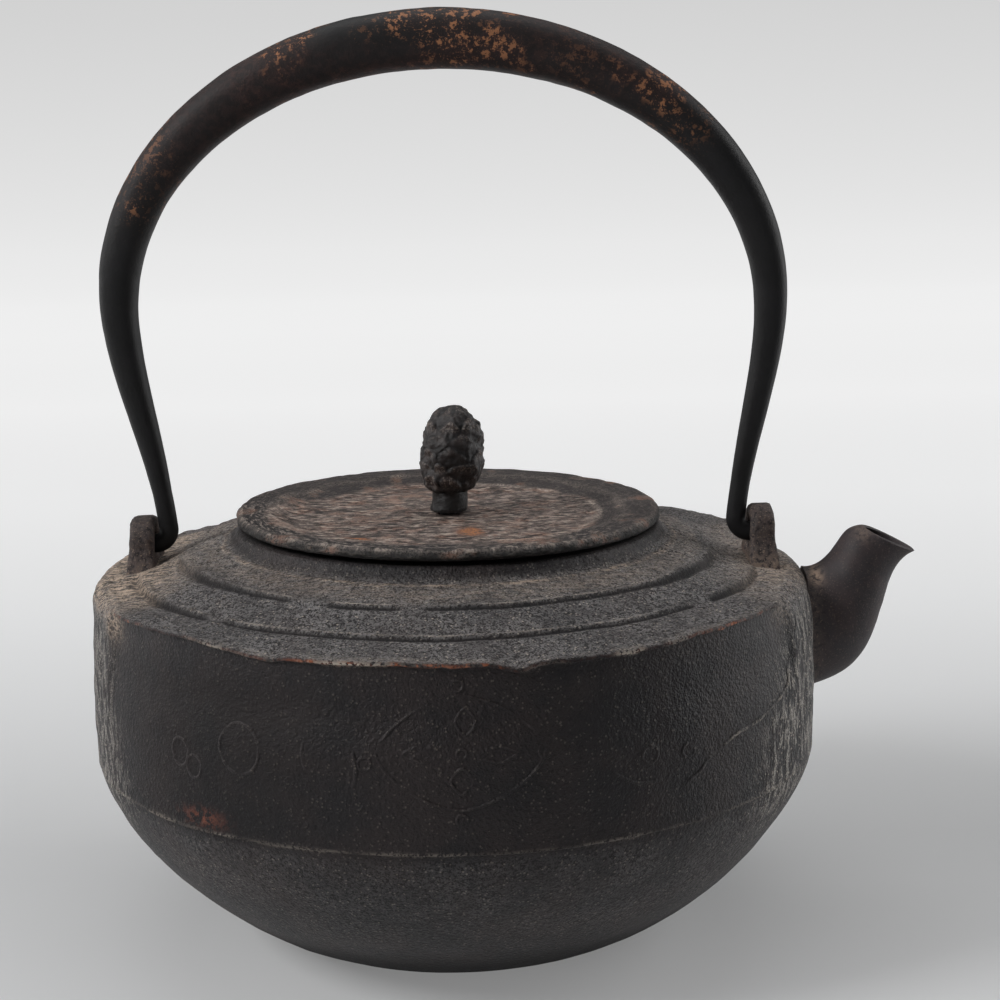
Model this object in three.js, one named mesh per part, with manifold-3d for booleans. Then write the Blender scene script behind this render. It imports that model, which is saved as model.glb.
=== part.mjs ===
// Cast iron kettle with a drop bow handle.
// Millimetres, +Z up. The origin is the centre of the flat foot, the spout points along +X.
import * as THREE from 'three';
import { mergeVertices } from 'three/addons/utils/BufferGeometryUtils.js';
import Module from 'manifold-3d';

// Body
const BODY_RADIUS = 90;
const WIDEST_Z = 64.5;
const WALL_BULGE = 0.27;
const FOOT_RADIUS = 38;
const SEAM_Z = 48;
const SEAM_HEIGHT = 0.9;
const SEAM_LEDGE = 0.5;
const WALL = 3;
const FLOOR_THICKNESS = 3.8;

// Shoulder, from the hem inwards
const HEM_INSET = 2;
const HEM_Z = 88.8;
const HEM_LIP = 0.9;
const HEM_WAVE = 0.5;
const PANEL_DEPTH = 0.9;
const PANEL_FOOT_Z = 71;
const PANEL_HALF_ANGLE = THREE.MathUtils.degToRad(64);
const PANEL_CORNER = THREE.MathUtils.degToRad(5);
const SIDE_ROUND = 6.2;
const SIDE_RISE = 0.9;
const OUTER_RING_RADIUS = BODY_RADIUS - 13.6;
const OUTER_RING_Z = 91.7;
const INNER_RING_RADIUS = OUTER_RING_RADIUS - 9;
const INNER_RING_Z = 95.9;
const RING_STEP = 1.3;
const RING_RUN = 0.8;
const RING_WAVE = 0.6;
const RING_GAP_ANGLE = THREE.MathUtils.degToRad(10);

// Collar and mouth
const COLLAR_RADIUS = 51.8;
const COLLAR_Z = 102;
const COLLAR_FOOT_Z = 98.9;
const COLLAR_FILLET = 3.6;
const MOUTH_RADIUS = 44;
const COLLAR_INSET = 4.4;

// Lid
const LID_RADIUS = 53;
const LID_THICKNESS = 3;
const LID_RIM_WIDTH = 9.6;
const LID_RIM_RISE = 1.3;
const LID_LIFTED_EDGE = 0.8;
const FLANGE_DEPTH = 7;
const FLANGE_THICKNESS = 2.4;
const FLANGE_CLEARANCE = 0.7;
const TANG_HOLE_RADIUS = 2.7;

// Pine cone knob, its tang and its washer
const KNOB_RADIUS = 8;
const KNOB_HEIGHT = 26.3;
const KNOB_BELLY_HEIGHT = 12.4;
const KNOB_NECK_RADIUS = 4.5;
const KNOB_NECK_HEIGHT = 4.6;
const KNOB_SCALES_AROUND = 8;
const KNOB_SCALE_ROWS = 7;
const KNOB_SCALE_DEPTH = 1;
const TANG_RADIUS = 2.2;
const PEEN_RADIUS = 3.4;
const PEEN_HEIGHT = 1.4;
const WASHER_RADIUS = 6;
const WASHER_THICKNESS = 1;

// Lugs
const LUG_X = OUTER_RING_RADIUS + 0.3;
const LUG_THICKNESS = 6.2;
const LUG_EDGE_ROUND = 1;
const LUG_TOP_RADIUS = 6.8;
const LUG_FOOT_HALF_WIDTH = 12;
const LUG_FOOT_THICKNESS = 8.4;
const LUG_FOOT_HEIGHT = 4.6;
const LUG_HOLE_RADIUS = 3.8;
const PIVOT_Z = 97.6;
const TENON_THICKNESS = 4;
const TENON_WIDTH = 9;
const TENON_DEPTH = 1.8;

// Handle
const HANDLE_TOP_Z = 219.2;
const HANDLE_WAIST_X = LUG_X + 2.8;
const HANDLE_WAIST_Z = 156;
const HANDLE_BOW_REACH = 44.5;
const HANDLE_BOW_DROP = 34.5;
const HANDLE_TOP_THICKNESS = 14.8;
const HANDLE_END_THICKNESS = 4.8;
const HANDLE_TOP_FLATNESS = 1.08;
const HANDLE_TAPER_POWER = 1.5;
const HANDLE_UNEVEN = 0.06;
const HOOK_BEND = 3.4;
const HOOK_LENGTH = 9;
const HOOK_SLANT = THREE.MathUtils.degToRad(5);
const HOOK_GAP = 0.58;
const HOOK_TIP_INSET = 1.2;

// Spout
const SPOUT_ROOT_Z = 72.8;
const SPOUT_ROOT_HALF_HEIGHT = 14.6;
const SPOUT_ROOT_HALF_WIDTH = 14;
const SPOUT_ROOT_SINK = 6;
const SPOUT_BACK_REACH = 12.6;
const SPOUT_BACK_Z = 98.2;
const SPOUT_TIP_REACH = 26.2;
const SPOUT_TIP_Z = 91.8;
const SPOUT_MOUTH_HALF_WIDTH = 7.2;
const SPOUT_TIP_PINCH = 0.3;
const SPOUT_WIDTH_POWER = 1.8;
const SPOUT_MOUTH_WALL = 1.7;
const SPIGOT_INSET = 3.2;
const SPIGOT_WALL = 2;

// Fits
const SEAT_GAP = 0.3;

// Fineness
const AROUND = 64;
const BELLY_STEPS = 8;
const CAVITY_AROUND = 48;
const LID_AROUND = 56;
const KNOB_AROUND = 32;
const TUBE_SIDES = 14;
const BOW_STEPS = 13;
const LEG_STEPS = 8;
const BEND_STEPS = 5;
const SPOUT_SIDES = 22;
const SPOUT_STEPS = 11;

const lerp = THREE.MathUtils.lerp;
const smooth = THREE.MathUtils.smoothstep;
const wasm = await Module();
wasm.setup();

// Helpers: a closed skin over rings of points, and the change between meshes and solids

function skin(rings) {
  const sides = rings[0].length;
  const middle = (ring) => ring.reduce((sum, p) => sum.add(p), new THREE.Vector3()).divideScalar(sides);
  const points = [...rings.flat(), middle(rings[0]), middle(rings.at(-1))];
  const firstCentre = rings.length * sides;
  const lastCentre = firstCentre + 1;
  const triangles = [];
  for (let i = 0; i < sides; i += 1) {
    const next = (i + 1) % sides;
    for (let j = 0; j < rings.length - 1; j += 1) {
      const low = j * sides;
      const high = low + sides;
      triangles.push(low + i, low + next, high + next);
      triangles.push(low + i, high + next, high + i);
    }
    const top = (rings.length - 1) * sides;
    triangles.push(firstCentre, next, i);
    triangles.push(lastCentre, top + i, top + next);
  }
  const geometry = new THREE.BufferGeometry().setFromPoints(points);
  geometry.setIndex(triangles);
  return geometry;
}

function toSolid(source) {
  const bare = source.clone();
  bare.deleteAttribute('normal');
  bare.deleteAttribute('uv');
  const merged = mergeVertices(bare, 1e-4);
  const corners = merged.index.array;
  const kept = [];
  for (let i = 0; i < corners.length; i += 3) {
    const [a, b, c] = corners.slice(i, i + 3);
    if (a !== b && b !== c && c !== a) {
      kept.push(a, b, c);
    }
  }
  const mesh = new wasm.Mesh({
    numProp: 3,
    vertProperties: new Float32Array(merged.attributes.position.array),
    triVerts: new Uint32Array(kept),
  });
  return new wasm.Manifold(mesh);
}

function toGeometry(solid) {
  const mesh = solid.getMesh();
  const geometry = new THREE.BufferGeometry();
  geometry.setAttribute('position', new THREE.BufferAttribute(new Float32Array(mesh.vertProperties), 3));
  geometry.setIndex(Array.from(mesh.triVerts));
  return geometry;
}

function turned(profile, segments) {
  const points = profile.map(([radius, height]) => new THREE.Vector2(radius, height));
  return new THREE.LatheGeometry(points, segments).rotateX(Math.PI / 2);
}

// Body: the outline changes with the angle, from the worn hem over the front and back panels
// to the plain rounded shoulder under the lugs

function sideShare(angle) {
  const fromFront = Math.acos(Math.abs(Math.sin(angle)));
  return smooth(fromFront, PANEL_HALF_ANGLE - PANEL_CORNER, PANEL_HALF_ANGLE + PANEL_CORNER);
}

function ringShare(angle) {
  const fromLug = Math.asin(Math.abs(Math.sin(angle)));
  return smooth(fromLug, RING_GAP_ANGLE, 2 * RING_GAP_ANGLE);
}

function bellyPoint(t) {
  const seamRadius = wallRadius(SEAM_Z) - SEAM_LEDGE;
  const belly = new THREE.CubicBezierCurve(
    new THREE.Vector2(FOOT_RADIUS, 0),
    new THREE.Vector2(lerp(FOOT_RADIUS, seamRadius, 0.425), 0.05 * SEAM_Z),
    new THREE.Vector2(seamRadius - 0.062 * (seamRadius - FOOT_RADIUS), 0.68 * SEAM_Z),
    new THREE.Vector2(seamRadius, SEAM_Z),
  );
  return belly.getPoint(t);
}

function wallRadius(z) {
  const bulge = WALL_BULGE / BODY_RADIUS;
  return BODY_RADIUS - bulge * (z - WIDEST_Z) ** 2;
}

function outline(angle) {
  const side = sideShare(angle);
  const step = 0.5 * RING_STEP * ringShare(angle);
  const wave = HEM_WAVE * (1 - side) * (Math.sin(5 * angle) + 0.6 * Math.sin(11 * angle + 1));
  const ringWave = RING_WAVE * ringShare(angle);
  const outerRing = OUTER_RING_RADIUS + ringWave * Math.sin(4 * angle + 2);
  const innerRing = INNER_RING_RADIUS + ringWave * Math.sin(3 * angle);
  const hemRadius = BODY_RADIUS - HEM_INSET;
  const panelRadius = hemRadius - PANEL_DEPTH;
  const midPanelZ = lerp(PANEL_FOOT_Z, HEM_Z, 0.38);
  const highPanelZ = lerp(PANEL_FOOT_Z, HEM_Z, 0.72);
  const shelfRadius = lerp(outerRing + RING_RUN, hemRadius, 0.54);
  const both = (front, under) => [lerp(front[0], under[0], side), lerp(front[1], under[1], side)];
  const round = (degrees) => {
    const turn = THREE.MathUtils.degToRad(degrees);
    const middleZ = HEM_Z + SIDE_RISE - SIDE_ROUND;
    const middle = wallRadius(middleZ) - SIDE_ROUND;
    return [middle + SIDE_ROUND * Math.cos(turn), middleZ + SIDE_ROUND * Math.sin(turn)];
  };
  const collarBend = COLLAR_FILLET * (1 - Math.SQRT1_2);
  const points = [];
  for (let i = 0; i <= BELLY_STEPS; i += 1) {
    const belly = bellyPoint(i / BELLY_STEPS);
    points.push([belly.x, belly.y]);
  }
  points.push([wallRadius(SEAM_Z), SEAM_Z + 0.4 * SEAM_HEIGHT]);
  points.push([wallRadius(SEAM_Z), SEAM_Z + SEAM_HEIGHT]);
  points.push([wallRadius(0.5 * (SEAM_Z + WIDEST_Z)), 0.5 * (SEAM_Z + WIDEST_Z)]);
  points.push([wallRadius(WIDEST_Z), WIDEST_Z]);
  points.push([wallRadius(PANEL_FOOT_Z), PANEL_FOOT_Z]);
  points.push(both([panelRadius + 0.6 * PANEL_DEPTH, midPanelZ], [wallRadius(midPanelZ), midPanelZ]));
  points.push(both([panelRadius + 0.1 * PANEL_DEPTH, highPanelZ], round(0)));
  points.push(both([panelRadius, HEM_Z - 2 * HEM_LIP + wave], round(22)));
  points.push(both([hemRadius, HEM_Z - HEM_LIP + wave], round(45)));
  points.push(both([hemRadius - 0.4 * HEM_LIP, HEM_Z + 0.4 * wave], round(65)));
  points.push(both([shelfRadius, HEM_Z + 0.9 * HEM_LIP], round(88)));
  points.push([outerRing + RING_RUN, OUTER_RING_Z - step]);
  points.push([outerRing, OUTER_RING_Z + step]);
  points.push([innerRing + RING_RUN, INNER_RING_Z - step]);
  points.push([innerRing, INNER_RING_Z + step]);
  points.push([COLLAR_RADIUS + COLLAR_FILLET, COLLAR_FOOT_Z]);
  points.push([COLLAR_RADIUS + collarBend, COLLAR_FOOT_Z + 0.25 * collarBend]);
  points.push([COLLAR_RADIUS, COLLAR_FOOT_Z + 0.4 * (COLLAR_Z - COLLAR_FOOT_Z)]);
  points.push([COLLAR_RADIUS, COLLAR_Z]);
  return points;
}

function bodySkin(grow) {
  const outlines = [];
  for (let i = 0; i < AROUND; i += 1) {
    const angle = (2 * Math.PI * i) / AROUND;
    outlines.push(outline(angle).map(([radius, z]) => new THREE.Vector3(
      (radius + grow) * Math.cos(angle),
      (radius + grow) * Math.sin(angle),
      z + grow * Math.sign(z - WIDEST_Z),
    )));
  }
  return skin(outlines[0].map((_, j) => outlines.map((line) => line[j])));
}

function cavitySkin() {
  const profile = [[0, FLOOR_THICKNESS]];
  for (let i = 1; i <= BELLY_STEPS; i += 1) {
    const belly = bellyPoint(i / BELLY_STEPS);
    const lean = smooth(i, 0, BELLY_STEPS);
    profile.push([belly.x - WALL * lerp(0.6, 1, lean), belly.y + lerp(FLOOR_THICKNESS, 0, lean)]);
  }
  profile.push([wallRadius(WIDEST_Z) - WALL, WIDEST_Z]);
  profile.push([BODY_RADIUS - HEM_INSET - PANEL_DEPTH - WALL, HEM_Z - SIDE_ROUND]);
  profile.push([BODY_RADIUS - HEM_INSET - PANEL_DEPTH - 1.6 * WALL, HEM_Z - 1.5 * WALL]);
  profile.push([OUTER_RING_RADIUS, OUTER_RING_Z - RING_STEP - WALL]);
  profile.push([INNER_RING_RADIUS, INNER_RING_Z - RING_STEP - WALL]);
  profile.push([MOUTH_RADIUS + COLLAR_INSET, COLLAR_FOOT_Z - WALL]);
  profile.push([MOUTH_RADIUS, COLLAR_FOOT_Z - 0.7 * WALL]);
  profile.push([MOUTH_RADIUS, COLLAR_Z + WALL]);
  profile.push([0, COLLAR_Z + WALL]);
  return turned(profile, CAVITY_AROUND);
}

// Spout: rings between its back outline and its underside outline

function spoutCurves() {
  const x = BODY_RADIUS - SPOUT_ROOT_SINK;
  const topZ = SPOUT_ROOT_Z + SPOUT_ROOT_HALF_HEIGHT;
  const lowZ = SPOUT_ROOT_Z - SPOUT_ROOT_HALF_HEIGHT;
  const backX = BODY_RADIUS + SPOUT_BACK_REACH;
  const tipX = BODY_RADIUS + SPOUT_TIP_REACH;
  const back = new THREE.CubicBezierCurve(
    new THREE.Vector2(x, topZ),
    new THREE.Vector2(lerp(x, backX, 0.77), lerp(topZ, lowZ, 0.034)),
    new THREE.Vector2(lerp(x, backX, 0.6), SPOUT_BACK_Z),
    new THREE.Vector2(backX, SPOUT_BACK_Z),
  );
  const under = new THREE.CubicBezierCurve(
    new THREE.Vector2(x, lowZ),
    new THREE.Vector2(lerp(x, tipX, 0.86), lowZ - 0.05 * SPOUT_ROOT_HALF_HEIGHT),
    new THREE.Vector2(lerp(x, tipX, 0.6), lerp(lowZ, SPOUT_TIP_Z, 0.72)),
    new THREE.Vector2(tipX, SPOUT_TIP_Z),
  );
  return { back, under };
}

function spoutRing(back, under, halfWidth, pinch, inset) {
  const middle = back.clone().add(under).multiplyScalar(0.5);
  const half = back.clone().sub(under).multiplyScalar(0.5);
  half.setLength(half.length() - inset);
  const ring = [];
  for (let i = 0; i < SPOUT_SIDES; i += 1) {
    const turn = (2 * Math.PI * i) / SPOUT_SIDES;
    const across = (halfWidth - inset) * Math.sin(turn) * (1 - pinch * (0.5 - 0.5 * Math.cos(turn)));
    const along = middle.clone().addScaledVector(half, Math.cos(turn));
    ring.push(new THREE.Vector3(along.x, -across, along.y));
  }
  return ring;
}

function spoutRings(rootInset, mouthInset) {
  const { back, under } = spoutCurves();
  const rings = [];
  for (let i = 0; i <= SPOUT_STEPS; i += 1) {
    const t = i / SPOUT_STEPS;
    const widening = (1 - t) ** SPOUT_WIDTH_POWER;
    const halfWidth = lerp(SPOUT_MOUTH_HALF_WIDTH, SPOUT_ROOT_HALF_WIDTH, widening);
    const inset = lerp(rootInset, mouthInset, Math.sqrt(t));
    rings.push(spoutRing(back.getPoint(t), under.getPoint(t), halfWidth, SPOUT_TIP_PINCH * t ** 3, inset));
  }
  return rings;
}

function shifted(ring, x, z) {
  return ring.map((point) => new THREE.Vector3(point.x + x, point.y, point.z + z));
}

function spigotSkin(inset) {
  const root = spoutRings(inset, inset)[0];
  return skin([shifted(root, -4 * WALL, 0), shifted(root, SPOUT_ROOT_SINK + WALL, 0)]);
}

function channelSkin() {
  const rings = spoutRings(SPIGOT_INSET + SPIGOT_WALL, SPOUT_MOUTH_WALL);
  const beyond = 3 * SPOUT_MOUTH_WALL;
  return skin([shifted(rings[0], -5 * WALL, 0), ...rings, shifted(rings.at(-1), 0.46 * beyond, 0.89 * beyond)]);
}

function spoutSolid(grownBody, cavity) {
  const outer = toSolid(skin(spoutRings(0, 0))).subtract(grownBody);
  const spigot = toSolid(spigotSkin(SPIGOT_INSET)).subtract(cavity);
  return outer.add(spigot).subtract(toSolid(channelSkin()));
}

// Lugs: a round-topped plate with the pivot hole, a wider foot and a tenon sunk in the shoulder

function lugPlate() {
  const footZ = OUTER_RING_Z - WALL;
  const half = new THREE.QuadraticBezierCurve(
    new THREE.Vector2(LUG_FOOT_HALF_WIDTH, footZ),
    new THREE.Vector2(LUG_TOP_RADIUS + LUG_EDGE_ROUND, lerp(footZ, PIVOT_Z, 0.65)),
    new THREE.Vector2(LUG_TOP_RADIUS, PIVOT_Z),
  ).getPoints(5);
  const top = new THREE.ArcCurve(0, PIVOT_Z, LUG_TOP_RADIUS, 0, 0.5 * Math.PI, false).getPoints(6);
  const right = [...half, ...top.slice(1)];
  const left = right.slice(0, -1).reverse().map((point) => new THREE.Vector2(-point.x, point.y));
  const plate = new THREE.ExtrudeGeometry(new THREE.Shape([...right, ...left]), {
    depth: LUG_THICKNESS - 2 * LUG_EDGE_ROUND,
    bevelSize: LUG_EDGE_ROUND,
    bevelThickness: LUG_EDGE_ROUND,
    bevelOffset: -LUG_EDGE_ROUND,
    bevelSegments: 2,
  });
  plate.rotateX(Math.PI / 2);
  plate.rotateZ(Math.PI / 2);
  return plate.translate(LUG_X - 0.5 * LUG_THICKNESS + LUG_EDGE_ROUND, 0, 0);
}

// The hole widens at both faces, where the hook has worn its edge round
function lugHole() {
  const half = 0.5 * LUG_THICKNESS;
  const flare = LUG_HOLE_RADIUS + LUG_EDGE_ROUND;
  const profile = [
    [0, -LUG_FOOT_THICKNESS],
    [flare, -LUG_FOOT_THICKNESS],
    [flare, -half],
    [LUG_HOLE_RADIUS, LUG_EDGE_ROUND - half],
    [LUG_HOLE_RADIUS, half - LUG_EDGE_ROUND],
    [flare, half],
    [flare, LUG_FOOT_THICKNESS],
    [0, LUG_FOOT_THICKNESS],
  ];
  return turned(profile, 20).rotateY(Math.PI / 2).translate(LUG_X, 0, PIVOT_Z);
}

function lugFoot() {
  const half = 0.5 * LUG_FOOT_THICKNESS;
  const base = OUTER_RING_Z - WALL;
  const sunk = 0.2 * LUG_EDGE_ROUND;
  const shape = new THREE.Shape();
  shape.moveTo(LUG_X - half, base);
  shape.lineTo(LUG_X + half, base);
  shape.lineTo(LUG_X + 0.5 * LUG_THICKNESS - sunk, base + LUG_FOOT_HEIGHT);
  shape.lineTo(LUG_X - 0.5 * LUG_THICKNESS + sunk, base + LUG_FOOT_HEIGHT);
  const width = 2 * (LUG_FOOT_HALF_WIDTH - LUG_EDGE_ROUND);
  const block = new THREE.ExtrudeGeometry(shape, { depth: width, bevelEnabled: false });
  block.rotateX(Math.PI / 2);
  return block.translate(0, 0.5 * width, 0);
}

function tenonBox(clearance) {
  const top = OUTER_RING_Z + WALL;
  const bottom = OUTER_RING_Z - TENON_DEPTH - clearance;
  const box = new THREE.BoxGeometry(TENON_THICKNESS + 2 * clearance, TENON_WIDTH + 2 * clearance, top - bottom);
  return box.translate(LUG_X, 0, 0.5 * (top + bottom));
}

function lugSolid(grownBody, turn) {
  const plate = toSolid(lugPlate());
  const foot = toSolid(lugFoot());
  const hole = toSolid(lugHole());
  const raised = plate.add(foot).subtract(hole).rotate([0, 0, turn]).subtract(grownBody);
  const tenon = toSolid(tenonBox(0)).rotate([0, 0, turn]);
  return raised.add(tenon);
}

// Handle: a bow that tapers from its top to two hooks, which turn outwards into the lugs

function handleHalf() {
  const legX = LUG_X - 0.5 * LUG_THICKNESS - HOOK_GAP - 0.5 * HANDLE_END_THICKNESS;
  const bend = (turn) => new THREE.Vector2(
    legX + HOOK_BEND * (1 - Math.cos(turn)),
    PIVOT_Z + HOOK_BEND * (1 - Math.sin(turn)),
  );
  const tipX = LUG_X + 0.5 * LUG_THICKNESS - HOOK_TIP_INSET;
  const bow = new THREE.CubicBezierCurve(
    new THREE.Vector2(0, HANDLE_TOP_Z),
    new THREE.Vector2(HANDLE_BOW_REACH, HANDLE_TOP_Z),
    new THREE.Vector2(HANDLE_WAIST_X, HANDLE_WAIST_Z + HANDLE_BOW_DROP),
    new THREE.Vector2(HANDLE_WAIST_X, HANDLE_WAIST_Z),
  );
  const bendStart = bend(-HOOK_SLANT);
  const legFall = HANDLE_WAIST_Z - bendStart.y;
  const upTheLeg = new THREE.Vector2(Math.sin(HOOK_SLANT), Math.cos(HOOK_SLANT));
  const leg = new THREE.CubicBezierCurve(
    new THREE.Vector2(HANDLE_WAIST_X, HANDLE_WAIST_Z),
    new THREE.Vector2(HANDLE_WAIST_X, HANDLE_WAIST_Z - 0.3 * legFall),
    bendStart.clone().addScaledVector(upTheLeg, 0.4 * legFall),
    bendStart,
  );
  const points = [...bow.getPoints(BOW_STEPS), ...leg.getPoints(LEG_STEPS).slice(1)];
  for (let i = 1; i <= BEND_STEPS; i += 1) {
    points.push(bend(lerp(-HOOK_SLANT, 0.5 * Math.PI, i / BEND_STEPS)));
  }
  points.push(new THREE.Vector2(tipX - 0.15 * HANDLE_END_THICKNESS, PIVOT_Z));
  points.push(new THREE.Vector2(tipX, PIVOT_Z));
  return points;
}

function handleSkin() {
  const half = handleHalf();
  const mirrored = half.slice(1).reverse().map((point) => new THREE.Vector2(-point.x, point.y));
  const path = [...mirrored, ...half];
  const lengths = [0];
  for (let i = 1; i < half.length; i += 1) {
    lengths.push(lengths[i - 1] + half[i].distanceTo(half[i - 1]));
  }
  const taperEnd = lengths[BOW_STEPS + LEG_STEPS] - HOOK_LENGTH;
  const rings = path.map((point, i) => {
    const before = path[Math.max(i - 1, 0)];
    const after = path[Math.min(i + 1, path.length - 1)];
    const along = after.clone().sub(before).normalize();
    const out = new THREE.Vector2(-along.y, along.x);
    const index = Math.abs(i - (half.length - 1));
    const share = Math.min(lengths[index] / taperEnd, 1);
    const taper = share ** HANDLE_TAPER_POWER;
    const uneven = 1 - Math.sign(point.x) * HANDLE_UNEVEN * Math.sin(Math.PI * share ** 2);
    const tipRound = i === 0 || i === path.length - 1 ? 0.6 : 1;
    const thickness = lerp(HANDLE_TOP_THICKNESS, HANDLE_END_THICKNESS, taper) * uneven * tipRound;
    const width = thickness * lerp(HANDLE_TOP_FLATNESS, 1, taper);
    return Array.from({ length: TUBE_SIDES }, (_, k) => {
      const turn = (2 * Math.PI * k) / TUBE_SIDES;
      const spot = point.clone().addScaledVector(out, 0.5 * thickness * Math.cos(turn));
      return new THREE.Vector3(spot.x, -0.5 * width * Math.sin(turn), spot.y);
    });
  });
  return skin(rings);
}

// Lid: a thin dished disc with a raised rim and a flange that drops into the mouth

function lidSizes() {
  const underside = COLLAR_Z + SEAT_GAP;
  return {
    underside,
    plateUnder: underside - LID_RIM_RISE,
    plateTop: underside - LID_RIM_RISE + LID_THICKNESS,
    rimTop: underside + LID_THICKNESS,
    flangeRadius: MOUTH_RADIUS - FLANGE_CLEARANCE,
    rimInner: LID_RADIUS - LID_RIM_WIDTH,
  };
}

function lidGeometry() {
  const size = lidSizes();
  const innerFlange = size.flangeRadius - FLANGE_THICKNESS;
  const edge = 0.3 * LID_THICKNESS;
  const profile = [
    [TANG_HOLE_RADIUS, size.plateUnder],
    [innerFlange - 1, size.plateUnder],
    [innerFlange, size.plateUnder - 1],
    [innerFlange, size.underside - FLANGE_DEPTH],
    [size.flangeRadius, size.underside - FLANGE_DEPTH],
    [size.flangeRadius, size.underside],
    [MOUTH_RADIUS + COLLAR_INSET, size.underside],
    [LID_RADIUS - edge, size.underside + LID_LIFTED_EDGE],
    [LID_RADIUS, size.underside + LID_LIFTED_EDGE + edge],
    [LID_RADIUS - 0.5 * edge, size.rimTop - 0.5 * edge],
    [LID_RADIUS - 2 * edge, size.rimTop],
    [size.rimInner, size.rimTop],
    [size.rimInner - 0.3 * LID_RIM_WIDTH, lerp(size.plateTop, size.rimTop, 0.5)],
    [size.rimInner - 0.7 * LID_RIM_WIDTH, lerp(size.plateTop, size.rimTop, 0.1)],
    [0.5 * size.rimInner, size.plateTop],
    [TANG_HOLE_RADIUS, size.plateTop],
    [TANG_HOLE_RADIUS, size.plateUnder],
  ];
  return turned(profile, LID_AROUND);
}

function washerGeometry() {
  const top = lidSizes().plateUnder - SEAT_GAP;
  const profile = [
    [TANG_HOLE_RADIUS, top - WASHER_THICKNESS],
    [WASHER_RADIUS, top - WASHER_THICKNESS],
    [WASHER_RADIUS, top],
    [TANG_HOLE_RADIUS, top],
    [TANG_HOLE_RADIUS, top - WASHER_THICKNESS],
  ];
  return turned(profile, 24);
}

// Knob: a pine cone of overlapping scales, whose tang is peened over under the washer

function plainRing(radius, z) {
  return Array.from({ length: KNOB_AROUND }, (_, i) => {
    const angle = (2 * Math.PI * i) / KNOB_AROUND;
    return new THREE.Vector3(radius * Math.cos(angle), radius * Math.sin(angle), z);
  });
}

// The cone is an egg: half an ellipse above its belly and part of a shorter one below
function coneRadius(height) {
  const above = height - KNOB_BELLY_HEIGHT;
  const lowReach = KNOB_BELLY_HEIGHT - KNOB_NECK_HEIGHT;
  const shrink = Math.sqrt(1 - (KNOB_NECK_RADIUS / KNOB_RADIUS) ** 2);
  const reach = above > 0 ? KNOB_HEIGHT - KNOB_BELLY_HEIGHT : lowReach / shrink;
  return KNOB_RADIUS * Math.sqrt(Math.max(1 - (above / reach) ** 2, 0));
}

// One row of scales: it starts sunk under the row below and ends in raised, pointed tips
function scaleRow(row, base) {
  const rowHeight = (KNOB_HEIGHT - KNOB_NECK_HEIGHT) / KNOB_SCALE_ROWS;
  const low = KNOB_NECK_HEIGHT + (row + 0.1) * rowHeight;
  const high = KNOB_NECK_HEIGHT + (row + 0.8) * rowHeight;
  const sunk = coneRadius(low) - 0.9 * KNOB_SCALE_DEPTH;
  const tips = Array.from({ length: KNOB_AROUND }, (_, i) => {
    const angle = (2 * Math.PI * i) / KNOB_AROUND;
    const tip = Math.abs(Math.cos(0.5 * KNOB_SCALES_AROUND * angle + 0.5 * Math.PI * row));
    const radius = coneRadius(high) - 0.5 * KNOB_SCALE_DEPTH * (1 - tip);
    const z = base + high + 0.3 * rowHeight * (tip - 1);
    return new THREE.Vector3(radius * Math.cos(angle), radius * Math.sin(angle), z);
  });
  return [plainRing(Math.max(sunk, 0.8 * KNOB_NECK_RADIUS), base + low), tips];
}

function knobSkin() {
  const size = lidSizes();
  const base = size.plateTop + SEAT_GAP;
  const washerUnder = size.plateUnder - SEAT_GAP - WASHER_THICKNESS;
  const peenTop = washerUnder - SEAT_GAP;
  const rings = [
    plainRing(0.7 * PEEN_RADIUS, peenTop - PEEN_HEIGHT),
    plainRing(PEEN_RADIUS, peenTop - 0.5 * PEEN_HEIGHT),
    plainRing(PEEN_RADIUS, peenTop),
    plainRing(TANG_RADIUS, peenTop),
    plainRing(TANG_RADIUS, base),
    plainRing(1.1 * KNOB_NECK_RADIUS, base),
    plainRing(KNOB_NECK_RADIUS, base + 0.4 * KNOB_NECK_HEIGHT),
  ];
  for (let row = 0; row < KNOB_SCALE_ROWS; row += 1) {
    rings.push(...scaleRow(row, base));
  }
  rings.push(plainRing(0.1 * KNOB_RADIUS, base + KNOB_HEIGHT));
  return skin(rings);
}

// Materials and assembly

function iron(colour, roughness, metalness) {
  return new THREE.MeshStandardMaterial({ color: colour, roughness, metalness });
}

function piece(name, geometry, material) {
  const mesh = new THREE.Mesh(geometry, material);
  mesh.name = name;
  return mesh;
}

function kettle() {
  const roughIron = iron(0x3b3734, 0.82, 0.45);
  const wornIron = iron(0x4a423c, 0.85, 0.4);
  const smoothIron = iron(0x2c292a, 0.5, 0.5);
  const blackIron = iron(0x1f1c1c, 0.42, 0.5);
  const grownBody = toSolid(bodySkin(SEAT_GAP));
  const cavity = toSolid(cavitySkin());
  const socket = toSolid(tenonBox(SEAT_GAP));
  const body = toSolid(bodySkin(0))
    .subtract(cavity)
    .subtract(toSolid(spigotSkin(SPIGOT_INSET - SEAT_GAP)))
    .subtract(socket)
    .subtract(socket.rotate([0, 0, 180]));
  const group = new THREE.Group();
  group.add(piece('kettle_body', toGeometry(body), roughIron));
  group.add(piece('spout', toGeometry(spoutSolid(grownBody, cavity)), smoothIron));
  group.add(piece('lug_spout_side', toGeometry(lugSolid(grownBody, 0)), smoothIron));
  group.add(piece('lug_rear_side', toGeometry(lugSolid(grownBody, 180)), smoothIron));
  group.add(piece('handle', handleSkin(), blackIron));
  group.add(piece('lid', lidGeometry(), wornIron));
  group.add(piece('knob', knobSkin(), smoothIron));
  group.add(piece('knob_washer', washerGeometry(), smoothIron));
  return group;
}

export default kettle();
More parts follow.
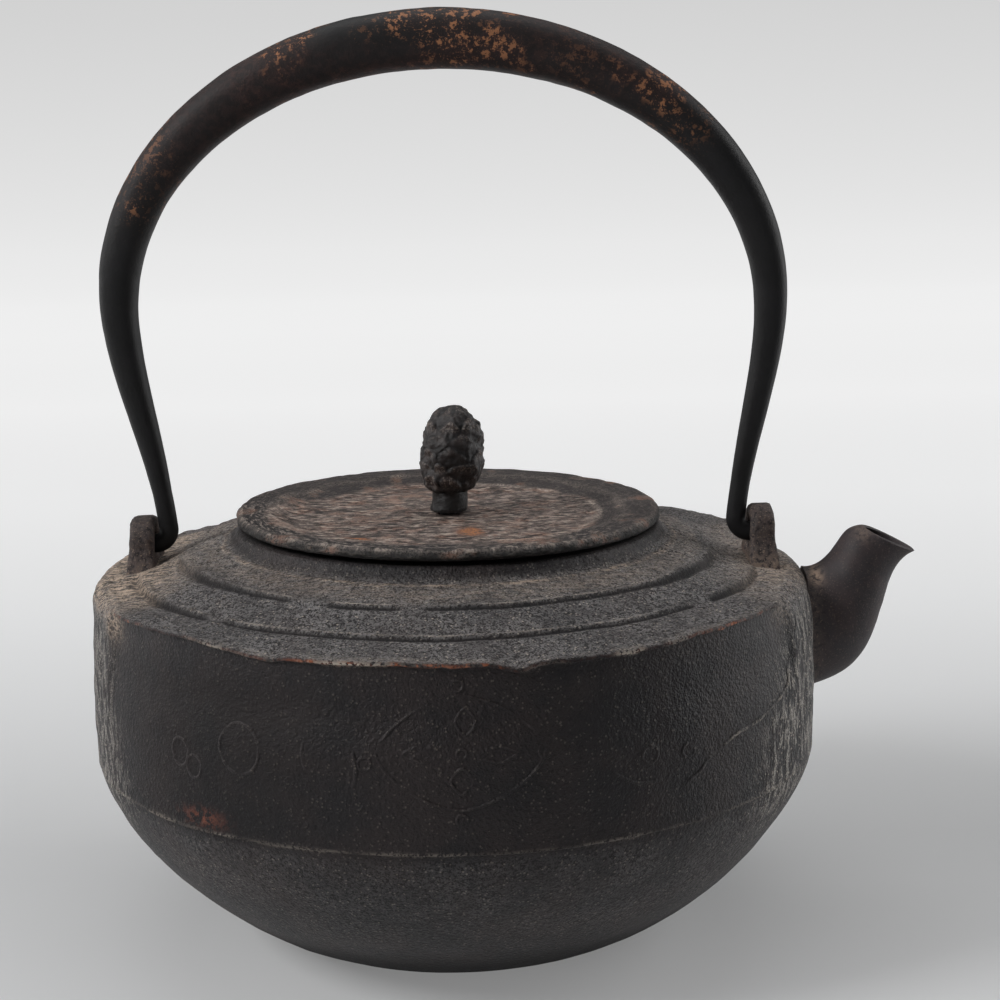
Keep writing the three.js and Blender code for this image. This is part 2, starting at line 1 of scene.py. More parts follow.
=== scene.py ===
"""Cast iron kettle with a drop bow: the dressed model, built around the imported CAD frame.

All shapes are worked out in millimetres, in the frame's own axes: +Z up, +X towards the spout,
-Y towards the viewer. A bearing is an angle round the kettle's axis, in degrees, 0 at the front
and positive towards the spout. Every mesh is turned into metres when it is made.
"""

import logging
import math
from dataclasses import dataclass
from enum import Enum
from functools import cache
from typing import Any, Callable, Optional, Sequence

import bpy
import numpy as np
from mathutils import Matrix, Vector


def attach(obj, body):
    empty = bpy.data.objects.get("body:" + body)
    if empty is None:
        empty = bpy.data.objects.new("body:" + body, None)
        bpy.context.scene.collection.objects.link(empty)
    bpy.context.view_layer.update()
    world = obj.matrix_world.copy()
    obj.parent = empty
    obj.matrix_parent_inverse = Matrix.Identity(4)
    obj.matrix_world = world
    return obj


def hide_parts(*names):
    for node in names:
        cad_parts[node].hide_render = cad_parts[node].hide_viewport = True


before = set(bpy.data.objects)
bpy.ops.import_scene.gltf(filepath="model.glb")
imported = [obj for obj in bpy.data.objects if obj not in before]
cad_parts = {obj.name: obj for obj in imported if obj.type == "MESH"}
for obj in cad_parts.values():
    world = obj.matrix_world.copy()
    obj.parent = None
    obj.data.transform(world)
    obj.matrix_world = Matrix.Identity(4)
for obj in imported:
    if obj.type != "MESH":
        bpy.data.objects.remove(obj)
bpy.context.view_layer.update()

MM = 0.001
Array = np.ndarray
Outline = Sequence[tuple[float, float]]
Pair = tuple[float, float]
Patch = tuple[float, float, float]
LOG = logging.getLogger("kettle")

HASH_AXES = (0x9E3779B1, 0x85EBCA77, 0xC2B2AE3D)
HASH_SEED = 0x27D4EB2F
HASH_MIXES = ((15, 0x2C1B3C6D), (12, 0x297A2D39))
HASH_LAST_SHIFT = 15
HASH_HALF_RANGE = 2.0**31
OCTAVE_SEED_STEP = 17


# Numbers over whole arrays


def smooth(value: Array, low: float, high: float) -> Array:
    """Smoothstep: 0 at low, 1 at high, 3t^2 - 2t^3 between."""
    t = np.clip((np.asarray(value, float) - low) / (high - low), 0.0, 1.0)
    return t * t * (3.0 - 2.0 * t)


def lerp(a: Any, b: Any, t: Any) -> Any:
    """Straight blend from a to b."""
    return a + (b - a) * t


def bell(distance: Array, width: float) -> Array:
    """Bell curve, 1 at distance 0: exp(-(distance / width)^2)."""
    return np.exp(-((np.asarray(distance, float) / width) ** 2))


def bells(value: Array, patches: Sequence[Patch]) -> Array:
    """Sum of bell curves, each given by its middle, height and width."""
    return sum(height * bell(value - middle, width) for middle, height, width in patches)


def lattice_value(cell: Array, seed: int) -> Array:
    """Fixed random value from -1 to 1 for each whole-numbered cell, by an integer hash.

    Args:
        cell: whole numbers, last axis x, y, z.
        seed: picks one of many patterns.
    Returns:
        One value for each cell.
    """
    mixed = np.zeros(cell.shape[:-1], np.uint32)
    for axis, factor in enumerate(HASH_AXES):
        mixed ^= cell[..., axis].astype(np.uint32) * np.uint32(factor)
    mixed ^= np.uint32((seed * HASH_SEED) & 0xFFFFFFFF)
    for shift, factor in HASH_MIXES:
        mixed ^= mixed >> np.uint32(shift)
        mixed *= np.uint32(factor)
    mixed ^= mixed >> np.uint32(HASH_LAST_SHIFT)
    return mixed.astype(float) / HASH_HALF_RANGE - 1.0


def noise(points: Array, cell: Any, seed: int) -> Array:
    """Smooth random field: the eight corners of a point's lattice cell, blended by smoothstep.

    Args:
        points: positions in mm, last axis x, y, z.
        cell: size of a lattice cell in mm, one number or one for each axis.
        seed: picks the pattern.
    Returns:
        Values from -1 to 1.
    """
    scaled = np.asarray(points, float) / np.asarray(cell, float)
    base = np.floor(scaled).astype(np.int64)
    part = scaled - base
    weight = part * part * (3.0 - 2.0 * part)
    total = np.zeros(scaled.shape[:-1])
    for corner in np.ndindex(2, 2, 2):
        step = np.array(corner)
        share = np.prod(np.where(step == 1, weight, 1.0 - weight), axis=-1)
        total += share * lattice_value(base + step, seed)
    return total


def fractal(points: Array, cell: Any, octaves: int, seed: int) -> Array:
    """Sum of noise fields, each of half the cell and half the height of the one before."""
    total = np.zeros(np.asarray(points).shape[:-1])
    for k in range(octaves):
        step = seed + OCTAVE_SEED_STEP * k
        total += 0.5**k * noise(points, np.asarray(cell, float) / 2**k, step)
    return total


def bezier(corners: Sequence[Sequence[float]], t: Array) -> Array:
    """Cubic Bezier: the four corners weighted by (1-t)^3, 3t(1-t)^2, 3t^2(1-t) and t^3."""
    p = np.asarray(corners, float)
    s = np.asarray(t, float)[..., None]
    near = (1 - s) ** 3 * p[0] + 3 * s * (1 - s) ** 2 * p[1]
    return near + 3 * s**2 * (1 - s) * p[2] + s**3 * p[3]


def squared(turn: Array, power: float) -> Array:
    """Radius of a superellipse of reach 1: (|cos|^power + |sin|^power)^(-1/power)."""
    return (np.abs(np.cos(turn)) ** power + np.abs(np.sin(turn)) ** power) ** (-1.0 / power)


def round_trip(count: int) -> Array:
    """Angles of a full turn in equal steps, from 0, in radians."""
    return np.linspace(0.0, 2 * np.pi, count, endpoint=False)


def unit(rows: Array) -> Array:
    """Vectors of the last axis, each brought to length 1."""
    return rows / np.linalg.norm(rows, axis=-1, keepdims=True)


def direction(points: Array, axis: int, closed: bool) -> Array:
    """Which way a row of points runs at each of them: on to the next less back to the last."""
    if closed:
        return np.roll(points, -1, axis) - np.roll(points, 1, axis)
    return np.gradient(points, axis=axis)


def at_bearing(radius: Array, bearing: Array, z: Array) -> Array:
    """Points at a radius and height on a bearing in degrees: x = r sin b, y = -r cos b."""
    turn = np.radians(bearing)
    radius, turn, z = np.broadcast_arrays(radius, turn, z)
    return np.stack([radius * np.sin(turn), -radius * np.cos(turn), z], axis=-1)


def wrapped(bearing: Array) -> Array:
    """The same bearing, brought between -180 and 180 degrees."""
    return np.mod(np.asarray(bearing, float) + 180.0, 360.0) - 180.0


def sideways(bearing: Array) -> Array:
    """Degrees between a bearing and the nearest of front and back."""
    turned = np.abs(wrapped(bearing))
    return np.minimum(turned, 180.0 - turned)


def from_axis(points: Array) -> Array:
    """Distance of points from the kettle's axis."""
    return np.hypot(points[..., 0], points[..., 1])


def signed_bearing(points: Array) -> Array:
    """Bearing of points, from -180 to 180 degrees."""
    return np.degrees(np.arctan2(points[..., 0], -points[..., 1]))


def line_distance(spots: Array, line: Sequence[Sequence[float]]) -> Array:
    """Shortest distance from flat spots to a line of straight pieces.

    Each spot is dropped on each piece, with its foot kept between the piece's ends.
    """
    corners = np.asarray(line, float)
    nearest = np.full(spots.shape[:-1], 1e9)
    for start, end in zip(corners[:-1], corners[1:]):
        along = end - start
        share = np.clip((spots - start) @ along / (along @ along), 0.0, 1.0)
        gap = np.linalg.norm(spots - (start + share[..., None] * along), axis=-1)
        nearest = np.minimum(nearest, gap)
    return nearest


def rounded_profile(corners: Sequence[Sequence[float]], step: float) -> Array:
    """Profile line through corners, each with its own rounding, in even small steps.

    A corner (radius, height, rounding) is cut back by its rounding along both sides and
    joined by a quadratic curve that aims at the corner.
    """
    spots = np.asarray([c[:2] for c in corners], float)
    cuts = [c[2] if len(c) > 2 else 0.0 for c in corners]
    line = [spots[0]]
    for i in range(1, len(spots) - 1):
        back, ahead = spots[i - 1] - spots[i], spots[i + 1] - spots[i]
        if cuts[i] <= 0:
            line.append(spots[i])
            continue
        start = spots[i] + unit(back) * min(cuts[i], 0.48 * np.linalg.norm(back))
        end = spots[i] + unit(ahead) * min(cuts[i], 0.48 * np.linalg.norm(ahead))
        for t in (0.0, 0.25, 0.5, 0.75, 1.0):
            line.append((1 - t) ** 2 * start + 2 * t * (1 - t) * spots[i] + t * t * end)
    line.append(spots[-1])
    fine = [line[0]]
    for before, after in zip(line[:-1], line[1:]):
        pieces = max(1, int(math.ceil(np.linalg.norm(after - before) / step)))
        fine.extend(lerp(before, after, k / pieces) for k in range(1, pieces + 1))
    return np.array(fine)


def carried_round(line: Array, columns: int) -> Array:
    """A profile of (radius, height) spots, carried round the axis in even steps."""
    return at_bearing(line[:, :1], np.degrees(round_trip(columns)), line[:, 1:])


# Meshes from grids


@dataclass
class Grid:
    """A surface as rows of points, in mm. Rows run across, and columns join round."""

    points: Array
    ring_rows: bool = False
    open_columns: bool = False
    turned_over: bool = False

    def faces(self, first: int) -> tuple[Array, Array, Array]:
        """Quads, end fans and the two extra pole points of the grid.

        Args:
            first: number of the grid's first vertex in the whole mesh.
        Returns:
            Quads (n, 4), triangles (m, 3) and pole points (0 or 2, 3).
        """
        rows, columns = self.points.shape[:2]
        number = first + np.arange(rows * columns).reshape(rows, columns)
        wide = number if self.open_columns else np.concatenate([number, number[:, :1]], axis=1)
        tall = np.concatenate([wide, wide[:1]], axis=0) if self.ring_rows else wide
        a, b = tall[:-1, :-1], tall[:-1, 1:]
        c, d = tall[1:, 1:], tall[1:, :-1]
        quads = np.stack([a, b, c, d], axis=-1).reshape(-1, 4)
        triangles = np.zeros((0, 3), int)
        poles = np.zeros((0, 3))
        if not self.ring_rows and not self.open_columns:
            poles = np.stack([self.points[0].mean(axis=0), self.points[-1].mean(axis=0)])
            pole = first + rows * columns
            low = np.stack([np.full(columns, pole), wide[0, 1:], wide[0, :-1]], axis=-1)
            high = np.stack([np.full(columns, pole + 1), wide[-1, :-1], wide[-1, 1:]], axis=-1)
            triangles = np.concatenate([low, high])
        if self.turned_over:
            quads, triangles = quads[:, ::-1], triangles[:, ::-1]
        return quads, triangles, poles

    def normals(self) -> Array:
        """Unit normals of the grid: the cross product of its two directions."""
        across = direction(self.points, 1, not self.open_columns)
        normal = np.cross(across, direction(self.points, 0, self.ring_rows))
        length = np.maximum(np.linalg.norm(normal, axis=-1, keepdims=True), 1e-9)
        return normal / length * (-1.0 if self.turned_over else 1.0)

    def swelled(self, amount: Array) -> "Grid":
        """The same grid with every point moved out along its normal by amount, in mm."""
        moved = self.points + self.normals() * np.asarray(amount)[..., None]
        return Grid(moved, self.ring_rows, self.open_columns, self.turned_over)


def mesh_from(name: str, grids: Sequence[Grid]) -> bpy.types.Mesh:
    """One mesh from several closed grids, in metres, filled with foreach_set.

    Args:
        name: the mesh's name.
        grids: surfaces in mm.
    Returns:
        The mesh, smooth shaded, with sharp edges only at steep bends.
    """
    spots, quads, triangles, count = [], [], [], 0
    for grid in grids:
        four, three, poles = grid.faces(count)
        spots.append(np.concatenate([grid.points.reshape(-1, 3), poles]))
        quads.append(four)
        triangles.append(three)
        count += len(spots[-1])
    vertices = np.concatenate(spots) * MM
    four, three = np.concatenate(quads), np.concatenate(triangles)
    loops = np.concatenate([four.ravel(), three.ravel()]).astype(np.int32)
    sizes = np.concatenate([np.full(len(four), 4), np.full(len(three), 3)]).astype(np.int32)
    mesh = bpy.data.meshes.new(name)
    mesh.vertices.add(len(vertices))
    mesh.vertices.foreach_set("co", vertices.astype(np.float32).ravel())
    mesh.loops.add(len(loops))
    mesh.loops.foreach_set("vertex_index", loops)
    mesh.polygons.add(len(sizes))
    mesh.polygons.foreach_set("loop_start", np.cumsum(sizes) - sizes)
    mesh.polygons.foreach_set("loop_total", sizes)
    mesh.update(calc_edges=True)
    mesh.validate()
    shade(mesh)
    return mesh


def shade(mesh: bpy.types.Mesh, sharp_degrees: float = 48.0) -> None:
    """Smooth shading that breaks only where faces meet at a steep angle."""
    mesh.polygons.foreach_set("use_smooth", np.ones(len(mesh.polygons), bool))
    mesh.set_sharp_from_angle(angle=math.radians(sharp_degrees))


def positions(mesh: bpy.types.Mesh) -> Array:
    """Every vertex of a mesh, in mm."""
    flat = np.zeros(len(mesh.vertices) * 3, np.float32)
    mesh.vertices.foreach_get("co", flat)
    return flat.reshape(-1, 3).astype(float) / MM


def link(thing: bpy.types.Object) -> bpy.types.Object:
    """Puts an object into the scene."""
    bpy.context.scene.collection.objects.link(thing)
    return thing


def paint(mesh: bpy.types.Mesh, masks: dict[str, Array]) -> None:
    """Stores named masks, one value for each vertex, for the finishes to read."""
    for name, values in masks.items():
        layer = mesh.attributes.new(name, "FLOAT", "POINT")
        layer.data.foreach_set("value", np.asarray(values, np.float32).ravel())


# Shader maths


class Signal:
    """A socket that carries a number, with the usual operators as Math nodes."""

    def __init__(self, shader: "Shader", socket: bpy.types.NodeSocket) -> None:
        self.shader = shader
        self.socket = socket

    def _math(self, operation: str, first: Any, second: Any) -> "Signal":
        """One Math node on two values."""
        made = self.shader.node("ShaderNodeMath", {"operation": operation}, {0: first, 1: second})
        return Signal(self.shader, made.outputs[0])

    def __add__(self, other: Any) -> "Signal":
        return self._math("ADD", self, other)

    def __sub__(self, other: Any) -> "Signal":
        return self._math("SUBTRACT", self, other)

    def __rsub__(self, other: Any) -> "Signal":
        return self._math("SUBTRACT", other, self)

    def __mul__(self, other: Any) -> "Signal":
        return self._math("MULTIPLY", self, other)

    __radd__ = __add__
    __rmul__ = __mul__

    def larger(self, other: Any) -> "Signal":
        """The larger of two values."""
        return self._math("MAXIMUM", self, other)

    def between(self, low: float, high: float) -> "Signal":
        """Smoothstep from 0 at low to 1 at high."""
        made = self.shader.node(
            "ShaderNodeMapRange",
            {"interpolation_type": "SMOOTHSTEP"},
            {"Value": self, "From Min": low, "From Max": high},
        )
        return Signal(self.shader, made.outputs[0])


class Shader:
    """The node tree of one finish."""

    def __init__(self, name: str) -> None:
        self.material = bpy.data.materials.new(name)
        self.material.use_nodes = True
        self.tree = self.material.node_tree
        self.tree.nodes.clear()
        self.place = self.node("ShaderNodeTexCoord").outputs["Object"]

    def node(
        self, kind: str, settings: Optional[dict] = None, inputs: Optional[dict] = None
    ) -> bpy.types.Node:
        """Adds a node.

        Args:
            kind: the node's type.
            settings: its own properties, set first.
            inputs: values, sockets or Signals for its sockets, by name or number.
        Returns:
            The node.
        """
        made = self.tree.nodes.new(kind)
        for key, value in (settings or {}).items():
            setattr(made, key, value)
        for key, value in (inputs or {}).items():
            source = value.socket if isinstance(value, Signal) else value
            if isinstance(source, bpy.types.NodeSocket):
                self.tree.links.new(source, made.inputs[key])
            else:
                made.inputs[key].default_value = source
        return made

    def mask(self, name: str) -> Signal:
        """A painted mask of the mesh."""
        made = self.node("ShaderNodeAttribute", {"attribute_name": name})
        return Signal(self, made.outputs["Fac"])

    def stretched(self, x: float, y: float, z: float) -> bpy.types.NodeSocket:
        """Object coordinates with each axis scaled."""
        made = self.node("ShaderNodeMapping", None, {"Vector": self.place, "Scale": (x, y, z)})
        return made.outputs[0]

    def clouds(
        self, cell: float, detail: float = 3.0, rough: float = 0.55, where: Any = None
    ) -> Signal:
        """Noise from 0 to 1 whose largest spots are cell mm across."""
        inputs = {"Vector": where or self.place, "Scale": 1.0 / (cell * MM)}
        inputs.update({"Detail": detail, "Roughness": rough})
        return Signal(self, self.node("ShaderNodeTexNoise", None, inputs).outputs[0])

    def cells(self, cell: float) -> Signal:
        """Distance to scattered points, cell mm apart, in cells."""
        inputs = {"Vector": self.place, "Scale": 1.0 / (cell * MM)}
        return Signal(self, self.node("ShaderNodeTexVoronoi", None, inputs).outputs["Distance"])

    def vector(self, operation: str, inputs: dict) -> bpy.types.Node:
        """One Vector Math node."""
        return self.node("ShaderNodeVectorMath", {"operation": operation}, inputs)

    def ringwise(self, mean_radius: float, stretch: float) -> bpy.types.NodeSocket:
        """Coordinates that draw spots out along the circumference: the bearing's sine and cosine
        times the mean radius, pressed together by stretch, and radius plus height."""
        apart = self.node("ShaderNodeSeparateXYZ", None, {0: self.place})
        flat = self.node("ShaderNodeCombineXYZ", None, {0: apart.outputs[0], 1: apart.outputs[1]})
        length = self.vector("LENGTH", {0: flat.outputs[0]})
        facing = self.vector("NORMALIZE", {0: flat.outputs[0]})
        reach = mean_radius * MM / stretch
        spread = self.vector("SCALE", {0: facing.outputs[0], "Scale": reach})
        out = Signal(self, length.outputs["Value"]) + Signal(self, apart.outputs[2])
        lifted = self.node("ShaderNodeCombineXYZ", None, {2: out})
        return self.vector("ADD", {0: spread.outputs[0], 1: lifted.outputs[0]}).outputs[0]

    def blend(self, share: Any, first: Any, second: Any) -> bpy.types.NodeSocket:
        """Colour mixed from first to second."""
        made = self.node("ShaderNodeMix", {"data_type": "RGBA"}, {0: share, 6: first, 7: second})
        return made.outputs[2]

    def bump(self, height: Signal, depth: float) -> bpy.types.NodeSocket:
        """Normal bent by a height from 0 to 1 that is depth mm deep."""
        inputs = {"Height": height, "Distance": depth * MM, "Strength": 1.0}
        return self.node("ShaderNodeBump", None, inputs).outputs[0]

    def surface(self, constants: dict, varied: dict) -> bpy.types.Material:
        """Ends the tree in one Principled shader.

        Args:
            constants: plain values, set on the shader's own sockets.
            varied: sockets and Signals that change over the surface.
        Returns:
            The finished material.
        """
        shader = self.node("ShaderNodeBsdfPrincipled", None, {**constants, **varied})
        self.node("ShaderNodeOutputMaterial", None, {"Surface": shader.outputs[0]})
        return self.material

    def iron(self, gloss: float, colour: Any, rough: Signal, normal: Any) -> bpy.types.Material:
        """Ends the tree as bare iron: one gloss all over, and a varied colour, roughness and
        normal."""
        varied = {"Base Color": colour, "Roughness": rough, "Normal": normal}
        return self.surface({"Specular IOR Level": gloss}, varied)


Colour = tuple[float, float, float, float]


def tone(red: float, green: float, blue: float) -> Colour:
    """A colour in linear light, from three numbers as an eye sees them, 0 to 255."""

    def linear(value: float) -> float:
        """One channel of the usual display curve, undone."""
        v = value / 255.0
        return v / 12.92 if v <= 0.04045 else ((v + 0.055) / 1.055) ** 2.4

    return (linear(red), linear(green), linear(blue), 1.0)


@dataclass(frozen=True)
class RoughIron:
    """Sand-cast skin: near black and grainy, dusty above, barky at the sides, rust where worn.
    Here and in the other finishes, the sizes of spots and the depth of the bump are in mm."""

    name: str = "rough_iron"
    gloss: float = 0.34
    pit: Colour = tone(14, 12, 13)
    dark: Colour = tone(36, 33, 35)
    brown: Colour = tone(48, 41, 41)
    dusty: Colour = tone(140, 137, 136)
    grey: Colour = tone(168, 162, 154)
    pale: Colour = tone(196, 184, 170)
    tan: Colour = tone(206, 184, 164)
    rust: Colour = tone(176, 104, 66)
    deep_rust: Colour = tone(104, 60, 48)
    inside: Colour = tone(70, 52, 42)
    grain: float = 0.42
    lump: float = 0.95
    pebble: float = 0.95
    bark: float = 1.7
    fold: float = 0.85
    depth: float = 0.8

    def material(self) -> bpy.types.Material:
        """Builds the node tree: sand grain, dust, bark on the sides, worn edges, rust, and painted
        shade in near black.
        """
        s = Shader(self.name)
        grain = s.clouds(self.grain, 1.0, 0.7)
        lumps = s.clouds(self.lump, 2.0, 0.7)
        pebbles = s.cells(self.pebble)
        broad = s.clouds(14.0, 4.0)
        patches = s.clouds(4.0, 4.0, 0.62)
        bark = s.clouds(self.bark, 3.0, 0.68, s.stretched(1.0, 1.0, 0.34))
        hide = s.clouds(self.fold, 3.0, 0.66, s.stretched(0.22, 1.0, 1.0))
        dust, wear, rust = s.mask("dust"), s.mask("wear"), s.mask("rust")
        # Besides side, tan and inside, this reads the painted shade mask: grooves, the mouth under
        # the lid, the left of the front panel and the foot.
        side, tan, painted_shade, inside = s.mask("side"), s.mask("tan"), s.mask("painted_shade"), s.mask("inside")
        colour = s.blend(broad.between(0.35, 0.65), self.dark, self.brown)
        mottle = 0.5 * grain + 0.5 * lumps
        sand = 0.06 + 0.94 * mottle.between(0.44, 0.56)
        cover = dust * sand * (0.56 + 0.4 * patches.between(0.34, 0.62))
        colour = s.blend(cover, colour, self.dusty)
        ribs = bark.between(0.5, 0.58) * (0.3 + 0.7 * grain.between(0.38, 0.56))
        colour = s.blend(side * ribs, colour, self.grey)
        folds = hide.between(0.44, 0.58)
        colour = s.blend(tan * (0.2 + 0.8 * folds), colour, self.tan)
        hollow = (1.0 - mottle.between(0.38, 0.5)) * (0.5 + 0.35 * dust)
        hollow = hollow.larger(side * (1.0 - bark.between(0.4, 0.5)) * 0.8)
        # Painted shade from its mask is taken in here and blended to near black with the hollows.
        hollow = hollow.larger(tan * (1.0 - hide.between(0.38, 0.48)) * 0.7).larger(painted_shade)
        colour = s.blend(hollow, colour, self.pit)
        crumbs = (1.0 - pebbles.between(0.16, 0.34)) * s.clouds(1.5, 2.0).between(0.47, 0.57)
        speck = crumbs * (0.12 + 0.65 * dust + 0.6 * side) * (1.0 - painted_shade)
        colour = s.blend(speck, colour, self.pale)
        spots = s.clouds(1.8, 3.0, 0.65)
        stain = rust.between(0.02, 0.6) * spots.between(0.42, 0.56)
        colour = s.blend(stain, colour, self.deep_rust)
        colour = s.blend(rust.between(0.3, 1.0) * spots.between(0.5, 0.58), colour, self.rust)
        colour = s.blend(wear * s.clouds(0.7, 1.0, 0.6).between(0.4, 0.52), colour, self.pale)
        colour = s.blend(inside * 0.85, colour, self.inside)
        height = mottle * (0.55 - 0.25 * tan) + (1.0 - pebbles) * 0.2
        height = height + side * bark * 1.6 + tan * hide * 1.5
        normal = s.bump(height + patches * 0.3, self.depth)
        rough = 0.48 + 0.14 * dust + 0.1 * patches + 0.3 * painted_shade
        return s.iron(self.gloss, colour, rough, normal)


@dataclass(frozen=True)
class WornIron:
    """The lid's skin: a rust-brown dish, a dark crinkled rim, and small patches of orange rust."""

    name: str = "worn_iron"
    gloss: float = 0.5
    pit: Colour = tone(22, 19, 18)
    dark: Colour = tone(64, 57, 56)
    brown: Colour = tone(146, 127, 117)
    pale: Colour = tone(206, 190, 176)
    rust: Colour = tone(184, 122, 76)
    deep_rust: Colour = tone(134, 92, 72)
    grain: float = 0.55
    crinkle: float = 0.7
    rim_radius: float = 48.0
    rim_stretch: float = 2.8
    wrinkle: float = 1.1
    depth: float = 0.8

    def material(self) -> bpy.types.Material:
        """Builds the node tree: crinkles along the rim, brown clouds, pale wear, rust, and painted
        shade on the rim's edge face.
        """
        s = Shader(self.name)
        grain = s.clouds(self.grain, 2.0, 0.65)
        crinkles = s.clouds(self.crinkle, 3.0, 0.66, s.ringwise(self.rim_radius, self.rim_stretch))
        wrinkles = s.clouds(self.wrinkle, 3.0, 0.75, s.stretched(0.36, 0.8, 1.0))
        patches = s.clouds(8.0, 4.0, 0.6)
        rust, wear, dish = s.mask("rust"), s.mask("wear"), s.mask("dish")
        face, calm = s.mask("face"), s.mask("calm")
        rim = 1.0 - dish
        colour = s.blend(dish * (0.5 + 0.5 * patches.between(0.36, 0.64)), self.dark, self.brown)
        colour = s.blend(dish * patches.between(0.5, 0.62) * 0.6, colour, self.deep_rust)
        colour = s.blend(dish * s.clouds(5.0, 3.0).between(0.54, 0.64) * 0.6, colour, self.dark)
        crinkled = rim * (1.0 - 0.75 * calm)
        colour = s.blend(crinkled * crinkles.between(0.52, 0.62) * 0.42, colour, self.pale)
        colour = s.blend(crinkled * (1.0 - crinkles.between(0.43, 0.51)) * 0.95, colour, self.pit)
        # Painted shade: the rim's edge face and the underside at the edge go near black, standing
        # in for the shadowed gap under the lid.
        colour = s.blend(face * 0.85, colour, self.pit)
        colour = s.blend(dish * (1.0 - wrinkles.between(0.42, 0.5)) * 0.9, colour, self.pit)
        fleck = wear * grain.between(0.4, 0.56) + 0.75 * dish * wrinkles.between(0.53, 0.62)
        colour = s.blend(fleck, colour, self.pale)
        stain = rust.between(0.05, 0.7) * wrinkles.between(0.42, 0.54)
        colour = s.blend(stain, colour, self.deep_rust)
        colour = s.blend(rust.between(0.35, 1.0) * grain.between(0.4, 0.56), colour, self.rust)
        height = grain * 0.35 + rim * crinkles * 1.4 + dish * wrinkles * 1.6
        normal = s.bump(height, self.depth)
        rough = 0.52 + 0.22 * patches
        return s.iron(self.gloss, colour, rough, normal)


@dataclass(frozen=True)
class SmoothIron:
    """Fine casting: dark and satin, with a faint warm tinge and tan dust at the joints."""

    name: str = "smooth_iron"
    gloss: float = 0.36
    pit: Colour = tone(16, 14, 15)
    dark: Colour = tone(56, 51, 53)
    warm: Colour = tone(70, 58, 58)
    tan: Colour = tone(160, 138, 120)
    grain: float = 0.45
    tooth: float = 1.3
    depth: float = 0.4

    def material(self) -> bpy.types.Material:
        """Builds the node tree: soft clouds, a coarse tooth where masked, and tan dust."""
        s = Shader(self.name)
        grain = s.clouds(self.grain, 2.0, 0.65)
        coarse = s.clouds(self.tooth, 4.0, 0.62)
        clouds = s.clouds(7.0, 4.0, 0.6)
        tan, tooth = s.mask("tan"), s.mask("tooth")
        colour = s.blend(clouds.between(0.35, 0.7) * 0.7, self.dark, self.warm)
        colour = s.blend((1.0 - coarse.between(0.3, 0.5)) * (0.15 + 0.6 * tooth), colour, self.pit)
        colour = s.blend(tan * coarse.between(0.36, 0.58), colour, self.tan)
        fleck = grain.between(0.58, 0.68) * (0.15 + 0.5 * tooth)
        colour = s.blend(fleck, colour, self.tan)
        normal = s.bump(grain * (0.18 + 0.4 * tooth) + coarse * (0.1 + tooth), self.depth)
        rough = 0.5 + 0.14 * clouds + 0.2 * tan + 0.06 * tooth
        return s.iron(self.gloss, colour, rough, normal)


@dataclass(frozen=True)
class KnobIron:
    """The pine cone: near black, rubbed lighter on the tips of its lumps."""

    name: str = "knob_iron"
    gloss: float = 0.5
    pit: Colour = tone(14, 12, 12)
    dark: Colour = tone(35, 31, 31)
    warm: Colour = tone(64, 54, 52)
    pale: Colour = tone(130, 118, 108)
    grain: float = 0.5
    depth: float = 0.4

    def material(self) -> bpy.types.Material:
        """Builds the node tree: black hollows, warm and pale tips, a coarse tooth."""
        s = Shader(self.name)
        grain = s.clouds(self.grain, 3.0, 0.65)
        clouds = s.clouds(2.2, 4.0, 0.62)
        tip = s.mask("tip")
        colour = s.blend(tip * clouds.between(0.36, 0.6), self.dark, self.warm)
        colour = s.blend((1.0 - tip.between(0.1, 0.5)) * 0.7, colour, self.pit)
        colour = s.blend(tip.between(0.4, 0.9) * grain.between(0.5, 0.6) * 0.75, colour, self.pale)
        normal = s.bump(grain * 0.5 + clouds * 0.9, self.depth)
        rough = 0.4 + 0.2 * grain
        return s.iron(self.gloss, colour, rough, normal)


@dataclass(frozen=True)
class BlackIron:
    """The bow's skin: worn black lacquer, satin, with rust-brown speckle showing through."""

    name: str = "black_iron"
    gloss: float = 0.36
    black: Colour = tone(16, 15, 16)
    grey: Colour = tone(30, 29, 31)
    brown: Colour = tone(74, 50, 46)
    rust: Colour = tone(164, 112, 78)
    grain: float = 0.6
    speckle: float = 2.0
    depth: float = 0.3

    def material(self) -> bpy.types.Material:
        """Builds the node tree: lacquer, rubbed grey, brown clouds and small rust spots."""
        s = Shader(self.name)
        grain = s.clouds(self.grain, 3.0, 0.65)
        clouds = s.clouds(12.0, 4.0, 0.62)
        spots = s.clouds(self.speckle, 4.0, 0.72)
        bare, rust = s.mask("bare"), s.mask("rust")
        colour = s.blend(clouds.between(0.3, 0.7) * 0.6, self.black, self.grey)
        colour = s.blend(bare * (0.35 + 0.65 * spots.between(0.42, 0.6)) * 0.8, colour, self.brown)
        colour = s.blend(rust.between(0.1, 0.9) * spots.between(0.54, 0.6), colour, self.rust)
        colour = s.blend(rust * grain.between(0.6, 0.66) * 0.6, colour, self.rust)
        normal = s.bump(grain * 0.3 + spots * (0.2 + 0.5 * bare), self.depth)
        rough = 0.48 + 0.14 * clouds + 0.16 * bare
        return s.iron(self.gloss, colour, rough, normal)


class Finish(Enum):
    """The finishes of the kettle."""

    ROUGH = RoughIron()
    WORN = WornIron()
    SMOOTH = SmoothIron()
    KNOB = KnobIron()
    BLACK = BlackIron()


@cache
def dressed(finish: Finish) -> bpy.types.Material:
    """The finish's material, made on first use and then kept."""
    return finish.value.material()


